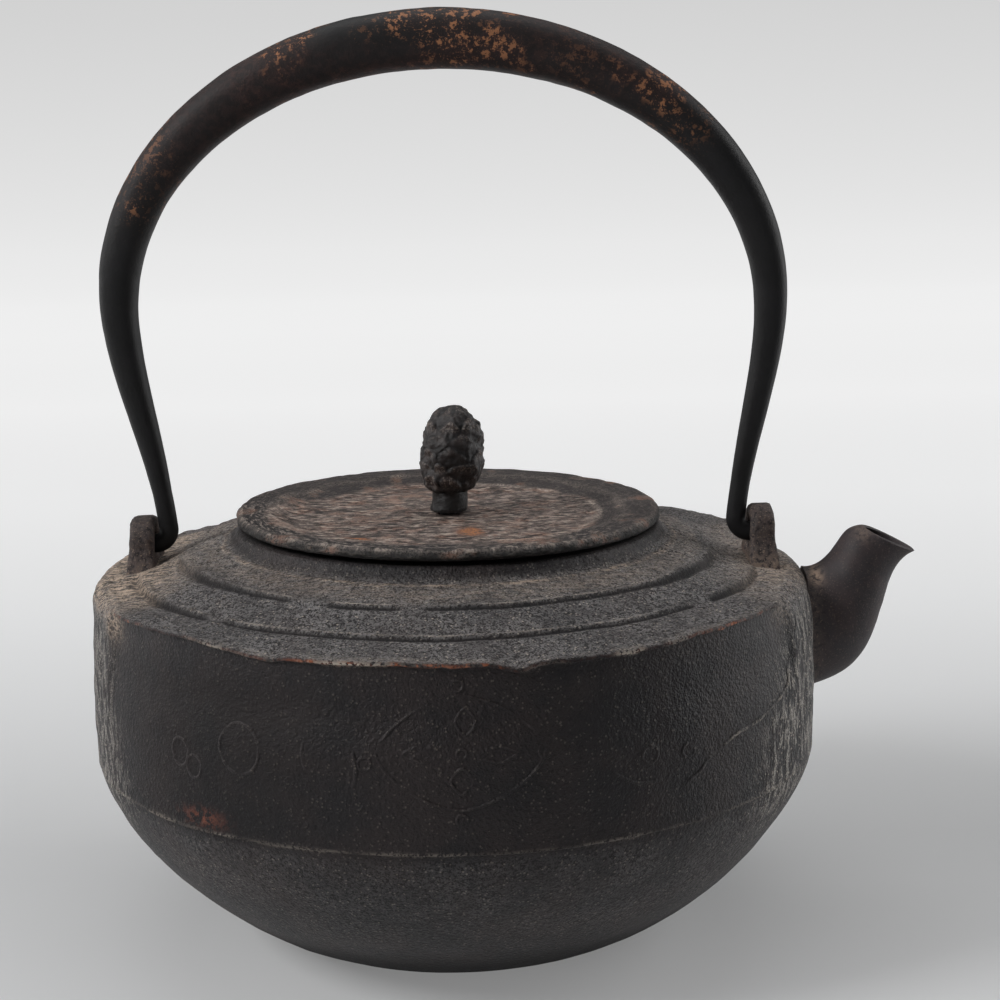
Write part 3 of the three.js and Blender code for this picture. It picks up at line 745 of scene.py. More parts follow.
def present(
    name: str, grids: Sequence[Grid], body: str, finish: Finish, nodes: Sequence[str] = ()
) -> bpy.types.Object:
    """Makes and shows a piece: dresses it, hangs it on its body and hides the CAD nodes that it
    stands for.

    Args:
        name: the piece's name.
        grids: its surfaces, in mm, in place.
        body: the CAD body that it moves with.
        finish: the finish that it takes.
        nodes: CAD nodes that it stands for.
    Returns:
        The object.
    """
    mesh = mesh_from(name, grids)
    piece = link(bpy.data.objects.new(name, mesh))
    mesh.materials.append(dressed(finish))
    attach(piece, body)
    if nodes:
        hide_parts(*nodes)
    LOG.info("%s: %d vertices on %s", name, len(mesh.vertices), body)
    return piece


# Body


@dataclass(frozen=True)
class Ring:
    """A cast ring of the shoulder: a small step up, broken where the mould was worn.

    A pair holds a measure at the front and back, and the same measure towards the lugs.
    """

    radius: float
    height: float
    drift: float
    breaks: Sequence[Pair]
    rise: Pair = (0.26, 0.55)
    step_run: Pair = (0.3, 0.5)
    step_reach: float = 7.0
    bead_height: Pair = (0.16, 0.2)
    bead_place: Pair = (0.5, 1.0)
    bead_width: Pair = (0.35, 0.6)
    groove_depth: Pair = (0.16, 0.35)
    groove_place: Pair = (0.5, 0.9)
    groove_width: Pair = (0.4, 0.7)
    # Place and width of the painted shade band on the ring's outward face and groove.
    shade_place: float = 0.3
    shade_width: Pair = (0.34, 0.8)

    def line(self, bearing: Array) -> Array:
        """Radius of the ring: larger towards the rear lug, with two slow waves."""
        turn = np.radians(bearing)
        wave = 0.25 * np.sin(5 * turn + self.radius) + 0.18 * np.sin(11 * turn + 2 * self.radius)
        return self.radius - self.drift * np.sin(turn) + wave

    def strength(self, bearing: Array) -> Array:
        """1 where the ring shows, 0 under the lugs and in its breaks, with soft ends."""
        shown = 1.0 - smooth(sideways(bearing), 77.0, 84.0)
        for start, end in self.breaks:
            middle, half = 0.5 * (start + end), 0.5 * (end - start)
            shown = shown * smooth(np.abs(wrapped(bearing) - middle), half - 0.6, half + 1.6)
        return shown

    def breadth(self, bearing: Array) -> Array:
        """0 at the front and back, where the ring is thin and sharp, 1 towards the lugs."""
        return smooth(sideways(bearing), 38.0, 62.0)

    def profile(self, bearing: Array, r: Array) -> Array:
        """Height that the ring adds: a step with a bead above it and a groove below."""
        broad, gap = self.breadth(bearing), self.line(bearing) - r
        step = lerp(*self.rise, broad) * np.clip(gap / lerp(*self.step_run, broad), -1, 1)
        step = step * np.clip(1 - np.abs(gap) / self.step_reach, 0, 1)
        bead = bell(gap - lerp(*self.bead_place, broad), lerp(*self.bead_width, broad))
        groove = bell(gap + lerp(*self.groove_place, broad), lerp(*self.groove_width, broad))
        bead = bead * lerp(*self.bead_height, broad)
        groove = groove * lerp(*self.groove_depth, broad)
        return self.strength(bearing) * (step + bead - groove)

    def shade(self, bearing: Array, r: Array) -> Array:
        """Painted shade on the ring's outward face and groove, from 0 to 1, which also keeps dust
        off them.
        """
        gap = self.line(bearing) - r + self.shade_place
        return self.strength(bearing) * bell(gap, lerp(*self.shade_width, self.breadth(bearing)))


@dataclass
class KettleBody:
    """The cast body: flat foot, round belly, seam, wall with front and back panels under a
    ragged hem, stepped shoulder, collar with the mouth, and the hollow inside."""

    radius: float = 90.0
    widest_z: float = 64.5
    bulge: float = 0.003
    low_bulge: float = 0.0008
    foot_radius: float = 38.0
    seam_z: float = 47.1
    seam_ledge: float = 0.5
    wall: float = 3.0
    floor: float = 3.8
    skin: float = 0.42
    hem_inset: float = 2.0
    panel_depth: float = 0.9
    panel_half_angle: float = 63.0
    side_round: float = 5.2
    side_top_z: float = 90.6
    hem_lip: float = 1.6
    shoulder_foot_z: float = 88.0
    side_shoulder: float = 82.6
    collar_radius: float = 51.8
    collar_foot_z: float = 98.5
    collar_fillet: float = 3.6
    worn_depth: float = 1.0
    worn_radius: float = 68.5
    worn_half_width: float = 5.0
    lean: float = 0.008
    shift: float = 0.75
    foot_shift: float = 0.5
    columns: int = 460
    outer_ring: Ring = Ring(76.1, 91.7, 0.7, ((-43.4, -41.2), (48.4, 52.6)))
    inner_ring: Ring = Ring(65.6, 95.9, 0.5, ((-31.0, -23.5), (-8.0, -4.0)))
    crack_line: Outline = ((48.6, 75.0), (49.2, 79.4), (49.6, 83.0), (53.6, 86.5))
    jog_line: Outline = ((-44.0, 79.5), (-41.0, 77.6), (-38.5, 75.6))
    hem_line: Outline = (
        (-90.0, 89.6), (-47.0, 90.3), (-38.0, 90.2), (-31.0, 89.4), (-22.0, 88.9), (-6.0, 88.7),
        (8.0, 88.2), (17.0, 88.2), (28.0, 87.9), (40.0, 89.1), (90.0, 89.4),
    )
    hem_drips: Sequence[Patch] = ((-26.0, 0.7, 3.6), (10.6, 1.6, 2.2))
    foot_outline: Outline = (
        (3.0, 0.3), (14.0, 0.3), (26.0, 0.3), (33.0, 0.25), (34.5, 0.02), (37.2, 0.02),
    )
    seam_outline: Outline = (
        (-1.0, -0.4), (-0.9, 0.0), (-0.35, 0.12), (0.1, 0.26), (0.14, 0.5), (0.0, 0.9),
    )
    lip_outline: Outline = (
        (0.0, -0.75), (0.04, -0.35), (0.5, -0.12), (0.92, 0.02), (1.0, 0.25), (0.95, 0.55),
        (0.6, 0.92),
    )
    collar_outline: Outline = (
        (55.6, 98.5), (54.8, 98.7), (53.9, 99.15), (53.2, 99.8), (52.7, 100.5), (52.4, 101.1),
        (52.1, 101.55), (51.4, 101.9), (50.4, 102.0),
    )
    hollow_outline: Outline = (
        (48.0, 102.0), (45.0, 102.0), (44.3, 101.8), (44.0, 101.3), (44.0, 99.5), (44.0, 97.3),
        (44.6, 96.4), (48.4, 95.8), (57.0, 93.6), (67.2, 91.4), (74.0, 88.7), (79.5, 86.2),
        (82.6, 84.0), (84.0, 80.8), (85.6, 75.0), (86.6, 70.0), (87.0, 64.5), (86.6, 57.0),
        (85.2, 49.0),
    )

    def bearings(self) -> Array:
        """Bearings of the columns: finer over the front half than over the back."""
        front = int(0.62 * self.columns)
        near = np.linspace(-92.0, 92.0, front, endpoint=False)
        far = np.linspace(92.0, 268.0, self.columns - front, endpoint=False)
        return np.concatenate([near, far])

    def side(self, bearing: Array) -> Array:
        """0 over the panels, 1 over the plain sides under the lugs."""
        half = self.panel_half_angle
        return smooth(sideways(bearing), half - 3.5, half + 3.5)

    def hem(self, bearing: Array) -> Array:
        """Height of the hem's lower edge, mirrored to the back: a slow line, two drips and
        fine raggedness."""
        turned = wrapped(bearing)
        back = np.where(turned > 0, 180.0 - turned, -180.0 - turned)
        facing = np.where(np.abs(turned) <= 90.0, turned, -0.92 * back)
        line = np.interp(facing, *np.array(self.hem_line).T) - bells(facing, self.hem_drips)
        on_edge = at_bearing(self.radius, bearing, 0.0)
        ragged = 0.2 * noise(on_edge, 1.9, 5) + 0.2 * noise(on_edge, 5.0, 6)
        return line + ragged * (1.0 - self.side(bearing))

    def ledge(self, bearing: Array) -> Array:
        """Depth of the seam's ledge: uneven, and gone at the plain sides."""
        uneven = smooth(noise(at_bearing(self.radius, bearing, 0.0), 30.0, 73), 0.2, 0.7)
        shown = 1 - smooth(sideways(bearing), 66.0, 84.0)
        return self.seam_ledge * (1 - 0.5 * uneven) * shown

    def wall_radius(self, bearing: Array, z: Array) -> Array:
        """Radius of the wall: a shallow barrel, set back by the panel's depth under the hem,
        with dents and, on the plain sides, upright bark and a ridge at the panel's end."""
        z = np.asarray(z, float)
        turned = sideways(bearing)
        inward = 1.0 - self.side(bearing)
        bend = np.where(z > self.widest_z, self.bulge, self.low_bulge)
        barrel = self.radius - self.skin - bend * (z - self.widest_z) ** 2
        set_back = self.panel_depth * smooth(z, 66.0, 80.0) * inward
        under_hem = self.radius - self.hem_inset - self.panel_depth
        top = lerp(under_hem, barrel, smooth(np.abs(z - 83.0), 3.0, 14.0))
        tucked = lerp(barrel - set_back, np.minimum(barrel, top), 0.4 * inward)
        barrel = np.where(z > 69.0, tucked, barrel)
        spots = at_bearing(self.radius, bearing, z)
        dents = 0.13 * fractal(spots, 11.0, 3, 31) + 0.07 * noise(spots, 2.2, 33)
        bark = 0.28 * noise(spots, (2.4, 2.4, 7.0), 41) + 0.16 * noise(spots, (1.2, 1.6, 3.6), 43)
        bark = bark * smooth(turned, 58.0, 68.0) * smooth(z, 50.0, 60.0)
        wander = 64.0 + 1.3 * noise(spots, (60.0, 60.0, 9.0), 47)
        ridge = 0.5 * bell(turned - wander, 1.1) * smooth(z, 62.0, 74.0)
        return barrel + dents + bark + ridge

    def shoulder_height(self, bearing: Array, r: Array) -> Array:
        """Height of the shoulder at a radius: straight slopes between the rings, the rings,
        a crack, and a skin that is grainy in front and folded near the lugs."""
        bearing, r = np.broadcast_arrays(bearing, r)
        outer, inner = self.outer_ring.line(bearing), self.inner_ring.line(bearing)
        rim = lerp(self.hem(bearing) + 1.0, self.side_top_z, self.side(bearing))
        start = self.shoulder_start(bearing, self.side_shoulder)
        low = lerp(rim, self.outer_ring.height, np.clip((start - r) / (start - outer), 0, 1))
        mid = lerp(low, self.inner_ring.height, np.clip((outer - r) / (outer - inner), 0, 1))
        foot = self.collar_radius + self.collar_fillet
        height = lerp(mid, self.collar_foot_z, np.clip((inner - r) / (inner - foot), 0, 1))
        height = height + self.outer_ring.profile(bearing, r) + self.inner_ring.profile(bearing, r)
        flat = at_bearing(r, bearing, 0.0)[..., :2]
        crack = line_distance(flat, self.flat_line(self.crack_line))
        jog = line_distance(flat, self.flat_line(self.jog_line))
        height = height + 0.3 * bell(crack, 0.6) - 0.2 * bell(crack - 1.0, 0.5)
        height = height + 0.3 * bell(jog, 0.8)
        spots = at_bearing(r, bearing, height)
        turned = sideways(bearing)
        lug_side = smooth(turned, 48.0, 72.0)
        worn = smooth(turned, 62.0, 76.0) * bell(r - self.worn_radius, self.worn_half_width)
        grain = 0.12 * fractal(spots, 7.0, 3, 51) + 0.05 * noise(spots, 2.0, 53)
        folds = 0.24 * noise(spots, (9.0, 2.2, 9.0), 57) + 0.12 * noise(spots, (5.0, 1.3, 5.0), 59)
        return height + grain + folds * lug_side * (1.0 - 0.6 * worn) - self.worn_depth * worn

    def shoulder_start(self, bearing: Array, at_side: Any) -> Array:
        """Radius at which the shoulder begins: behind the hem's lip, or as given at the sides."""
        behind_hem = self.radius - self.hem_inset - self.hem_lip
        return lerp(behind_hem, at_side, self.side(bearing))

    def flat_line(self, places: Outline) -> Array:
        """A flat line on the shoulder from (bearing, radius) pairs."""
        bearing, r = np.array(places).T
        return at_bearing(r, bearing, 0.0)[:, :2]

    def belly(self, t: Array) -> Array:
        """Belly profile (radius, height): one Bezier from the foot to the seam."""
        top = self.radius - self.skin - self.low_bulge * (self.seam_z - self.widest_z) ** 2
        low = (lerp(self.foot_radius, top, 0.405), 0.046 * self.seam_z)
        high = (lerp(top, self.foot_radius, 0.035), 0.665 * self.seam_z)
        return bezier([(self.foot_radius, 0.0), low, high, (top, self.seam_z)], t)

    def rows(self) -> Array:
        """All rows of the body's closed surface, from the middle of the foot up the outside,
        over the collar, down through the mouth and round the hollow to the floor."""
        bearing = self.bearings()
        ones = np.ones_like(bearing)
        stack: list[Array] = []

        def add(r: Any, z: Any) -> None:
            """Adds one row of points."""
            stack.append(at_bearing(r * ones, bearing, z * ones))

        for r, z in self.foot_outline:
            add(r, z)
        self.add_belly(add, bearing)
        self.add_wall(add, bearing)
        for row in stack:
            row[..., 0] += self.shift_at(row[..., 2])
        self.add_shoulder(add, bearing)
        self.add_hollow(add)
        points = np.stack(stack)
        outside = smooth(from_axis(points), 66.0, 84.0)
        high = smooth(points[..., 2], 80.0, 90.0) * (1.0 - outside * (1.0 - self.side(bearing)))
        points[..., 2] -= self.lean * points[..., 0] * high
        return points

    def shift_at(self, z: Array) -> Array:
        """How far belly and wall lie towards the spout: none at the shoulder, most at the foot."""
        low = self.foot_shift * (1.0 - smooth(z, 4.0, 34.0))
        return self.shift * (1.0 - smooth(z, 80.0, 92.0)) + low

    def add_belly(self, add: Callable, bearing: Array) -> None:
        """Rows of the belly, with soft dents that fade out at the foot."""
        ledge = self.ledge(bearing)
        for r, z in self.belly(np.linspace(0.012, 0.985, 36)):
            on_skin = at_bearing(r, bearing, z)
            rise = smooth(z, 0.5, 8.0)
            swell = rise * (0.18 * fractal(on_skin, 12.0, 3, 61) + 0.08 * noise(on_skin, 2.6, 63))
            add(r + swell - ledge * (z / self.seam_z) ** 3, np.maximum(z - 0.3 * swell, 0.05))

    def add_wall(self, add: Callable, bearing: Array) -> None:
        """Rows of the seam, the wall, and the hem's lip, which turns into a round corner at
        the plain sides."""
        side = self.side(bearing)
        seam = self.seam_z + 0.4 * noise(at_bearing(self.radius, bearing, 0.0), 22.0, 71)
        base = self.wall_radius(bearing, seam + 1.2)
        ledge = self.ledge(bearing)
        for out, up in self.seam_outline:
            proud = max(out, 0.0) * ledge / self.seam_ledge
            add(base + min(out, 0.0) * ledge + proud, seam + up)
        hem = self.hem(bearing)
        corner_z = self.side_top_z - self.side_round
        corner_r = self.wall_radius(bearing, corner_z) - self.side_round
        for share in np.linspace(0.0, 1.0, 52):
            z = lerp(seam + 1.3, lerp(hem - 1.6, corner_z, side), share)
            add(self.wall_radius(bearing, z), z)
        panel = self.wall_radius(bearing, hem - 1.3)
        on_edge = at_bearing(self.radius, bearing, 0.0)
        lip = self.radius - self.hem_inset + 0.16 * noise(on_edge, 2.2, 81)
        for k, (out, up) in enumerate(self.lip_outline):
            turn = math.radians(8.0 + 68.0 * k / (len(self.lip_outline) - 1))
            r = lerp(lerp(panel, lip, out), corner_r + self.side_round * math.cos(turn), side)
            z = lerp(hem + up, corner_z + self.side_round * math.sin(turn), side)
            add(r, z)

    def add_shoulder(self, add: Callable, bearing: Array) -> None:
        """Rows of the shoulder, close together at the rings, and of the collar's outside."""
        corner = self.wall_radius(bearing, self.side_top_z - self.side_round) - self.side_round
        corner = corner + self.side_round * math.cos(math.radians(84.0))
        outer, inner = self.outer_ring.line(bearing), self.inner_ring.line(bearing)
        start = self.shoulder_start(bearing, corner)
        foot = self.collar_radius + self.collar_fillet
        near = 1.9
        spans = (
            (start, outer + near, 11), (outer + near, outer - near, 14),
            (outer - near, inner + near, 7), (inner + near, inner - near, 14),
            (inner - near, foot, 10),
        )
        for begin, end, count in spans:
            for share in np.linspace(0.0, 1.0, count, endpoint=False):
                r = lerp(begin, end, share)
                add(r, self.shoulder_height(bearing, r))
        ring = at_bearing(52.0, bearing, 0.0)
        wavy = 0.16 * noise(ring, 4.0, 91) + 0.1 * noise(ring, 1.6, 93)
        for r, z in self.collar_outline:
            add(r + wavy, z + 0.5 * wavy)

    def add_hollow(self, add: Callable) -> None:
        """Rows of the collar's top, the mouth, and the hollow down to the floor."""
        for r, z in self.hollow_outline:
            add(r, z)
        for r, z in self.belly(np.linspace(0.92, 0.06, 16)):
            share = smooth(z, 0.0, self.seam_z)
            add(r - self.wall * lerp(0.6, 1.0, share), z + lerp(self.floor, 0.0, share))
        for r in (34.0, 22.0, 10.0, 3.0):
            add(r, self.floor)

    def cut_spout_hole(self, piece: bpy.types.Object, cutter: Grid) -> None:
        """Cuts the opening that the spout's collar sits in, with a Boolean applied at once."""
        knife = link(bpy.data.objects.new("knife", mesh_from("knife", [cutter])))
        cut = piece.modifiers.new("spout_hole", "BOOLEAN")
        cut.operation, cut.object, cut.solver = "DIFFERENCE", knife, "MANIFOLD"
        graph = bpy.context.evaluated_depsgraph_get()
        mesh = bpy.data.meshes.new_from_object(piece.evaluated_get(graph))
        piece.modifiers.clear()
        piece.data = mesh
        bpy.data.objects.remove(knife)
        shade(mesh)

    def hidden(self, spots: Array) -> Array:
        """1 on the hollow's surface, 0 on the skin that shows."""
        bearing, r, z = signed_bearing(spots), from_axis(spots), spots[:, 2]
        shoulder = self.shoulder_height(bearing, np.clip(r, 55.0, 90.0))
        wall = self.wall_radius(bearing, np.clip(z, 48.0, 88.0))
        upper = (z > 47.0) & (r < wall - 1.8) & (z < shoulder - 1.8)
        belly = np.interp(z, *self.belly(np.linspace(0, 1, 40)).T[::-1])
        lower = (z < 48.5) & (z > 2.5) & (r < belly - 2.0)
        return (upper | lower | ((r < 46.0) & (z > 2.0))).astype(float)

    def build(self, cutter: Grid) -> None:
        """Makes the body with its spout opening and its masks."""
        grids = [Grid(self.rows())]
        piece = present("body_casting", grids, "kettle", Finish.ROUGH, ["kettle_body"])
        self.cut_spout_hole(piece, cutter)
        paint(piece.data, Skin.of(self, positions(piece.data)).masks())


@dataclass(frozen=True)
class Skin:
    """The body's skin: where each vertex lies, as whole arrays, and the masks for its finish.

    Lips are patches along the hem: bearing, strength and width.
    """

    body: KettleBody
    spots: Array
    bearing: Array
    r: Array
    z: Array
    turned: Array
    hem: Array
    side: Array
    above: Array
    flank: Array
    brow: Array
    broken: Array
    grooves: Array
    edge: Array
    bright_lips: Sequence[Patch] = ((24.0, 1.6, 11.0), (-13.0, 1.1, 6.0), (-36.0, 0.6, 7.0))
    rusty_lips: Sequence[Patch] = (
        (-14.0, 1.0, 7.0), (-58.0, 1.0, 3.0), (2.0, 0.8, 7.0), (47.0, 0.7, 6.0),
    )

    @classmethod
    def of(cls, body: KettleBody, spots: Array) -> "Skin":
        """Places of the vertices, with the wall's shift taken out, and the fields that several
        masks share: above the hem, near a lug, two slow noises, the painted shade of the grooves
        and the hem's edge."""
        spots = spots - body.shift_at(spots[:, 2])[:, None] * np.array([1.0, 0.0, 0.0])
        bearing, r, z = signed_bearing(spots), from_axis(spots), spots[:, 2]
        turned, hem, side = sideways(bearing), body.hem(bearing), body.side(bearing)
        low, high = lerp(hem + 0.6, 82.0, side), lerp(hem + 1.0, 89.0, side)
        # Painted shade of the rings' outward faces and grooves.
        grooves = body.outer_ring.shade(bearing, r).clip(0, 1) + body.inner_ring.shade(bearing, r)
        return cls(
            body, spots, bearing, r, z, turned, hem, side,
            above=np.where(r > 50.0, smooth(z, low, high), 0.0),
            flank=smooth(turned, 60.0, 70.0),
            brow=smooth(fractal(spots, 8.0, 3, 107), -0.9, 0.8),
            broken=smooth(noise(spots, 5.0, 101), -0.5, 0.3),
            grooves=np.clip(grooves, 0, 1) * (z > body.shoulder_foot_z),
            edge=bell(z - hem - 0.2, 0.45) * (1 - side) * (r > 86.2),
        )

    def dust(self) -> Array:
        """Dust: thick on the shoulder and most so towards the lugs, a film on the wall there and
        on the belly, and little on the collar's face and where the grooves' painted shade lies."""
        near_lug = 0.3 * self.flank + 0.1 * smooth(self.turned, 20.0, 60.0)
        shoulder = self.above * (0.55 + 0.22 * self.brow + near_lug)
        wall = (1 - self.above) * (0.12 * self.flank + 0.12 * smooth(self.bearing, 44.0, 62.0))
        under = smooth(self.body.seam_z - self.z, 0.0, 3.0) * smooth(self.z, 8.0, 30.0)
        belly = 0.3 * (1 - self.above) * under * (0.4 + 0.6 * self.brow)
        collar = (1.0 - 0.85 * smooth(self.z, 98.7, 99.8)) * (1.0 - 0.12 * (self.z > 96.5))
        # Dust is kept out of the painted groove shade.
        return (shoulder + wall + belly) * collar * (1.0 - 0.85 * self.grooves)

    def wear(self) -> Array:
        """Bare metal: lips of the hem, crests of the rings, the seam and the hem's brim."""
        outer = bell(self.r - self.body.outer_ring.line(self.bearing) + 0.7, 0.25)
        inner = bell(self.r - self.body.inner_ring.line(self.bearing) + 0.7, 0.25)
        bright = 1.0 + 1.2 * bell(self.bearing + 19.0, 6.0)
        rings = outer * self.body.outer_ring.strength(self.bearing)
        rings = rings + bright * inner * self.body.inner_ring.strength(self.bearing)
        rings = rings * (self.z > self.body.shoulder_foot_z)
        rings = rings * (1.0 - 0.9 * smooth(self.turned, 34.0, 56.0))
        seam = bell(self.z - self.body.seam_z - 0.4, 0.4) * (self.r > 84.0) * (1 - 0.7 * self.flank)
        brim = bell(self.z - self.hem - 0.98, 0.2) * (1 - self.side)
        brim = brim * (self.r > 85.6) * (self.z < 91.0)
        lips = np.clip(bells(self.bearing, self.bright_lips), 0.12, 1)
        thin = (0.6 * rings + 0.3 * seam + 0.15 * brim) * (0.2 + 0.8 * self.broken)
        return self.edge * lips * self.broken + thin

    def rust(self) -> Array:
        """Rust: patches along the hem's edge, a film on its face, and one spot at the seam."""
        warm = np.clip(bells(self.bearing, self.rusty_lips), 0, 1)
        patches = self.edge * warm * smooth(noise(self.spots, 3.0, 103), -0.6, 0.2)
        up = self.z - self.hem
        face = smooth(up, -0.3, 0.0) * (1 - smooth(up, 0.7, 1.0)) * (1 - self.side)
        face = face * (self.r > 86.0)
        spot = 0.5 * bell(self.bearing + 38.0, 5.0) * bell(self.z - 50.5, 2.6)
        return patches + 0.3 * face * (0.5 + 0.5 * self.broken) + spot

    def tan(self) -> Array:
        """Tan scale: a wash round both lugs, the line at the collar's foot, the panel's upper
        corner, and a patch over the spout."""
        wash = smooth(self.turned, 56.0, 78.0) * bell(self.r - 79.0, 10.0)
        wash = wash * smooth(self.z, 86.0, 89.0)
        rear = 0.35 + 0.65 * smooth(-self.bearing, -20.0, 20.0)
        wash = (1.3 + 0.5 * (1 - smooth(self.bearing, -60.0, 0.0))) * wash * rear
        foot = bell(self.r - 55.9 - 0.5 * noise(self.spots, 4.0, 109), 0.5) * (self.z > 97.5)
        foot = 0.8 * foot * (0.3 + 0.7 * self.brow)
        foot = foot + 0.22 * bell(self.r - 60.0, 4.0) * (self.z > 96.0)
        corner = bell(self.turned - 62.0, 3.0) * bell(self.z - 87.5, 3.5) * rear
        over_spout = bell(np.hypot(self.bearing - 84.0, self.z - 87.0), 5.0) * self.above
        return wash + foot + 0.7 * corner + 0.4 * over_spout

    def painted_shade(self) -> Array:
        """Painted shade in black: darker at the foot, the collar top under the lid, the ring
        grooves, and the panel's left part.
        """
        # Painted shade: the collar's top in the gap under the lid's edge goes black.
        mouth = (1 - smooth(self.r, 50.4, 51.6)) * smooth(self.z, 101.2, 101.6)
        # Painted shade: the left part of the front panel is darkened where the key light falls on
        # it.
        panel = bell(self.bearing + 36.0, 20.0) * smooth(self.z, 44.0, 50.0)
        panel = panel * (1 - smooth(self.z, 78.0, 88.0))
        # Painted shade in the ring grooves.
        grooves = (0.75 - 0.35 * self.flank) * self.grooves
        # The first term darkens the body towards the bottom, at the foot.
        return (1.0 - smooth(self.z, 6.0, 18.0)) + mouth + grooves + 0.52 * panel

    def bark(self) -> Array:
        """Bark: the plain sides, in a band that widens downwards, weaker at the rear lug."""
        reach = self.turned + lerp(0.2, 0.5, self.bearing > 0) * np.clip(84.0 - self.z, 0.0, 40.0)
        barky = smooth(reach, 59.0, 72.0) * smooth(self.turned, 47.0, 57.0)
        barky = barky * (1 - self.above) * smooth(self.z, 30.0, 50.0)
        return barky * lerp(0.8, 1.0, smooth(self.bearing, -60.0, 60.0))

    def masks(self) -> dict[str, Array]:
        """Every mask of the rough iron: on the skin that shows from 0 to 1, and the inside."""
        inside = self.body.hidden(self.spots)
        made = {"dust": self.dust(), "wear": self.wear(), "rust": self.rust()}
        made.update({"side": self.bark(), "tan": self.tan(), "painted_shade": self.painted_shade()})
        made = {name: np.clip(mask, 0, 1) * (1.0 - inside) for name, mask in made.items()}
        return {**made, "inside": inside}


# Relief on the front panel


@dataclass
class Relief:
    """Faint cast ornament on the front panel: low, worn ridges that follow the wall.

    A ring is its middle (bearing, height), its half width in degrees, its half height in mm
    and the power of its superellipse. A stroke is its (bearing, height) spots, and the height
    and half width of its ridge in mm.
    """

    body: KettleBody
    height: float = 0.24
    half_width: float = 0.5
    sink: float = 0.35
    bedding: float = 0.06
    medallion: Sequence[tuple[float, ...]] = (
        (2.3, 69.9, 11.6, 12.4, 1.55), (2.2, 84.4, 0.8, 1.2, 2.0), (2.3, 55.3, 0.8, 1.2, 2.0),
        (-11.0, 67.7, 0.9, 1.4, 2.0), (13.9, 69.6, 0.9, 1.4, 2.0), (-2.9, 70.1, 2.6, 1.7, 1.4),
        (7.4, 69.6, 2.6, 1.7, 1.4), (2.4, 64.0, 1.5, 2.9, 1.4), (3.0, 76.6, 1.4, 2.8, 1.4),
        (2.4, 70.0, 0.7, 1.1, 2.0),
    )
    side_rings: Sequence[tuple[float, ...]] = (
        (-30.2, 68.2, 3.4, 5.6, 2.0), (-41.6, 64.6, 1.6, 3.2, 2.0), (-38.8, 62.0, 1.4, 2.6, 2.0),
        (29.5, 65.4, 1.3, 1.9, 2.0), (36.1, 64.5, 1.1, 1.6, 2.0),
    )
    branch: Outline = (
        (66.6, 79.0), (65.4, 76.9), (62.9, 75.6), (61.6, 73.4), (61.0, 71.1), (59.2, 69.4),
        (56.0, 67.8), (52.6, 66.3), (49.4, 65.4), (46.6, 65.0), (44.4, 64.0), (42.4, 62.8),
        (39.9, 61.3), (38.4, 59.3), (35.6, 57.0),
    )
    short_strokes: Sequence[tuple[Outline, float, float]] = (
        (((-19.8, 72.1), (-20.1, 69.0), (-19.6, 65.4)), 0.24, 0.5),
        (((-12.6, 70.0), (-12.2, 66.0), (-12.8, 61.5)), 0.34, 0.7),
        (((66.2, 84.0), (64.6, 80.5), (65.6, 77.6)), 0.3, 0.5),
        (((34.8, 58.9), (28.2, 59.4), (25.8, 60.7), (23.4, 63.1)), 0.24, 0.5),
        (((25.6, 68.4), (25.9, 66.0), (25.4, 63.6)), 0.24, 0.5),
    )

    def ridge(
        self, bearing: Array, z: Array, height: float, half_width: float, ring: bool = False
    ) -> Grid:
        """A ridge along a line on the wall. Its section is a cosine bell, sunk at both edges.
        Its height falls away at the line's ends, and noise wears it through in places."""
        offset = math.degrees(self.body.shift / self.body.radius)
        bearing = bearing - offset * np.cos(np.radians(bearing))
        middle = at_bearing(self.body.wall_radius(bearing, z), bearing, z)
        along = unit(direction(middle, 0, ring))
        across = np.cross(along, at_bearing(1.0, bearing, 0.0))
        share = np.linspace(-1.0, 1.0, 9)
        ends = 1.0 if ring else np.sin(np.pi * np.linspace(0.03, 0.97, len(middle))) ** 0.35
        worn = 0.8 + 0.75 * noise(middle, 3.0, 121) + 0.4 * noise(middle, 1.1, 123)
        lift = height * np.cos(0.5 * np.pi * share)[None, :] * (ends * worn)[:, None]
        lift = lift - self.bedding
        lift[:, [0, -1]] = -self.sink
        points = middle[:, None, :] + across[:, None, :] * (half_width * share)[None, :, None]
        radial = self.body.wall_radius(signed_bearing(points), points[..., 2]) + lift
        top = at_bearing(radial, signed_bearing(points), points[..., 2])
        top[..., 0] += self.body.shift_at(top[..., 2])
        return Grid(top, ring_rows=ring, turned_over=True)

    def ring(self, bearing: float, z: float, wide: float, tall: float, power: float) -> Grid:
        """A ring of superellipse form on the wall, wide in degrees and tall in mm."""
        turn = round_trip(96)
        reach = squared(turn, power)
        bearings = bearing + wide * np.cos(turn) * reach
        heights = z + tall * np.sin(turn) * reach
        return self.ridge(bearings, heights, self.height, self.half_width, ring=True)

    def stroke(self, spots: Outline, height: float, half_width: float) -> Grid:
        """A smooth stroke through (bearing, height) spots, by a Catmull-Rom spline."""
        p = np.array([spots[0], *spots, spots[-1]], float)
        t = np.linspace(0.0, 1.0, 10, endpoint=False)[:, None]
        parts = []
        for a, b, c, d in zip(p[:-3], p[1:-2], p[2:-1], p[3:]):
            bent = (2 * a - 5 * b + 4 * c - d) * t**2 + (3 * b - a - 3 * c + d) * t**3
            parts.append(0.5 * (2 * b + (c - a) * t + bent))
        line = np.concatenate(parts + [p[-1:]])
        return self.ridge(line[:, 0], line[:, 1], height, half_width)

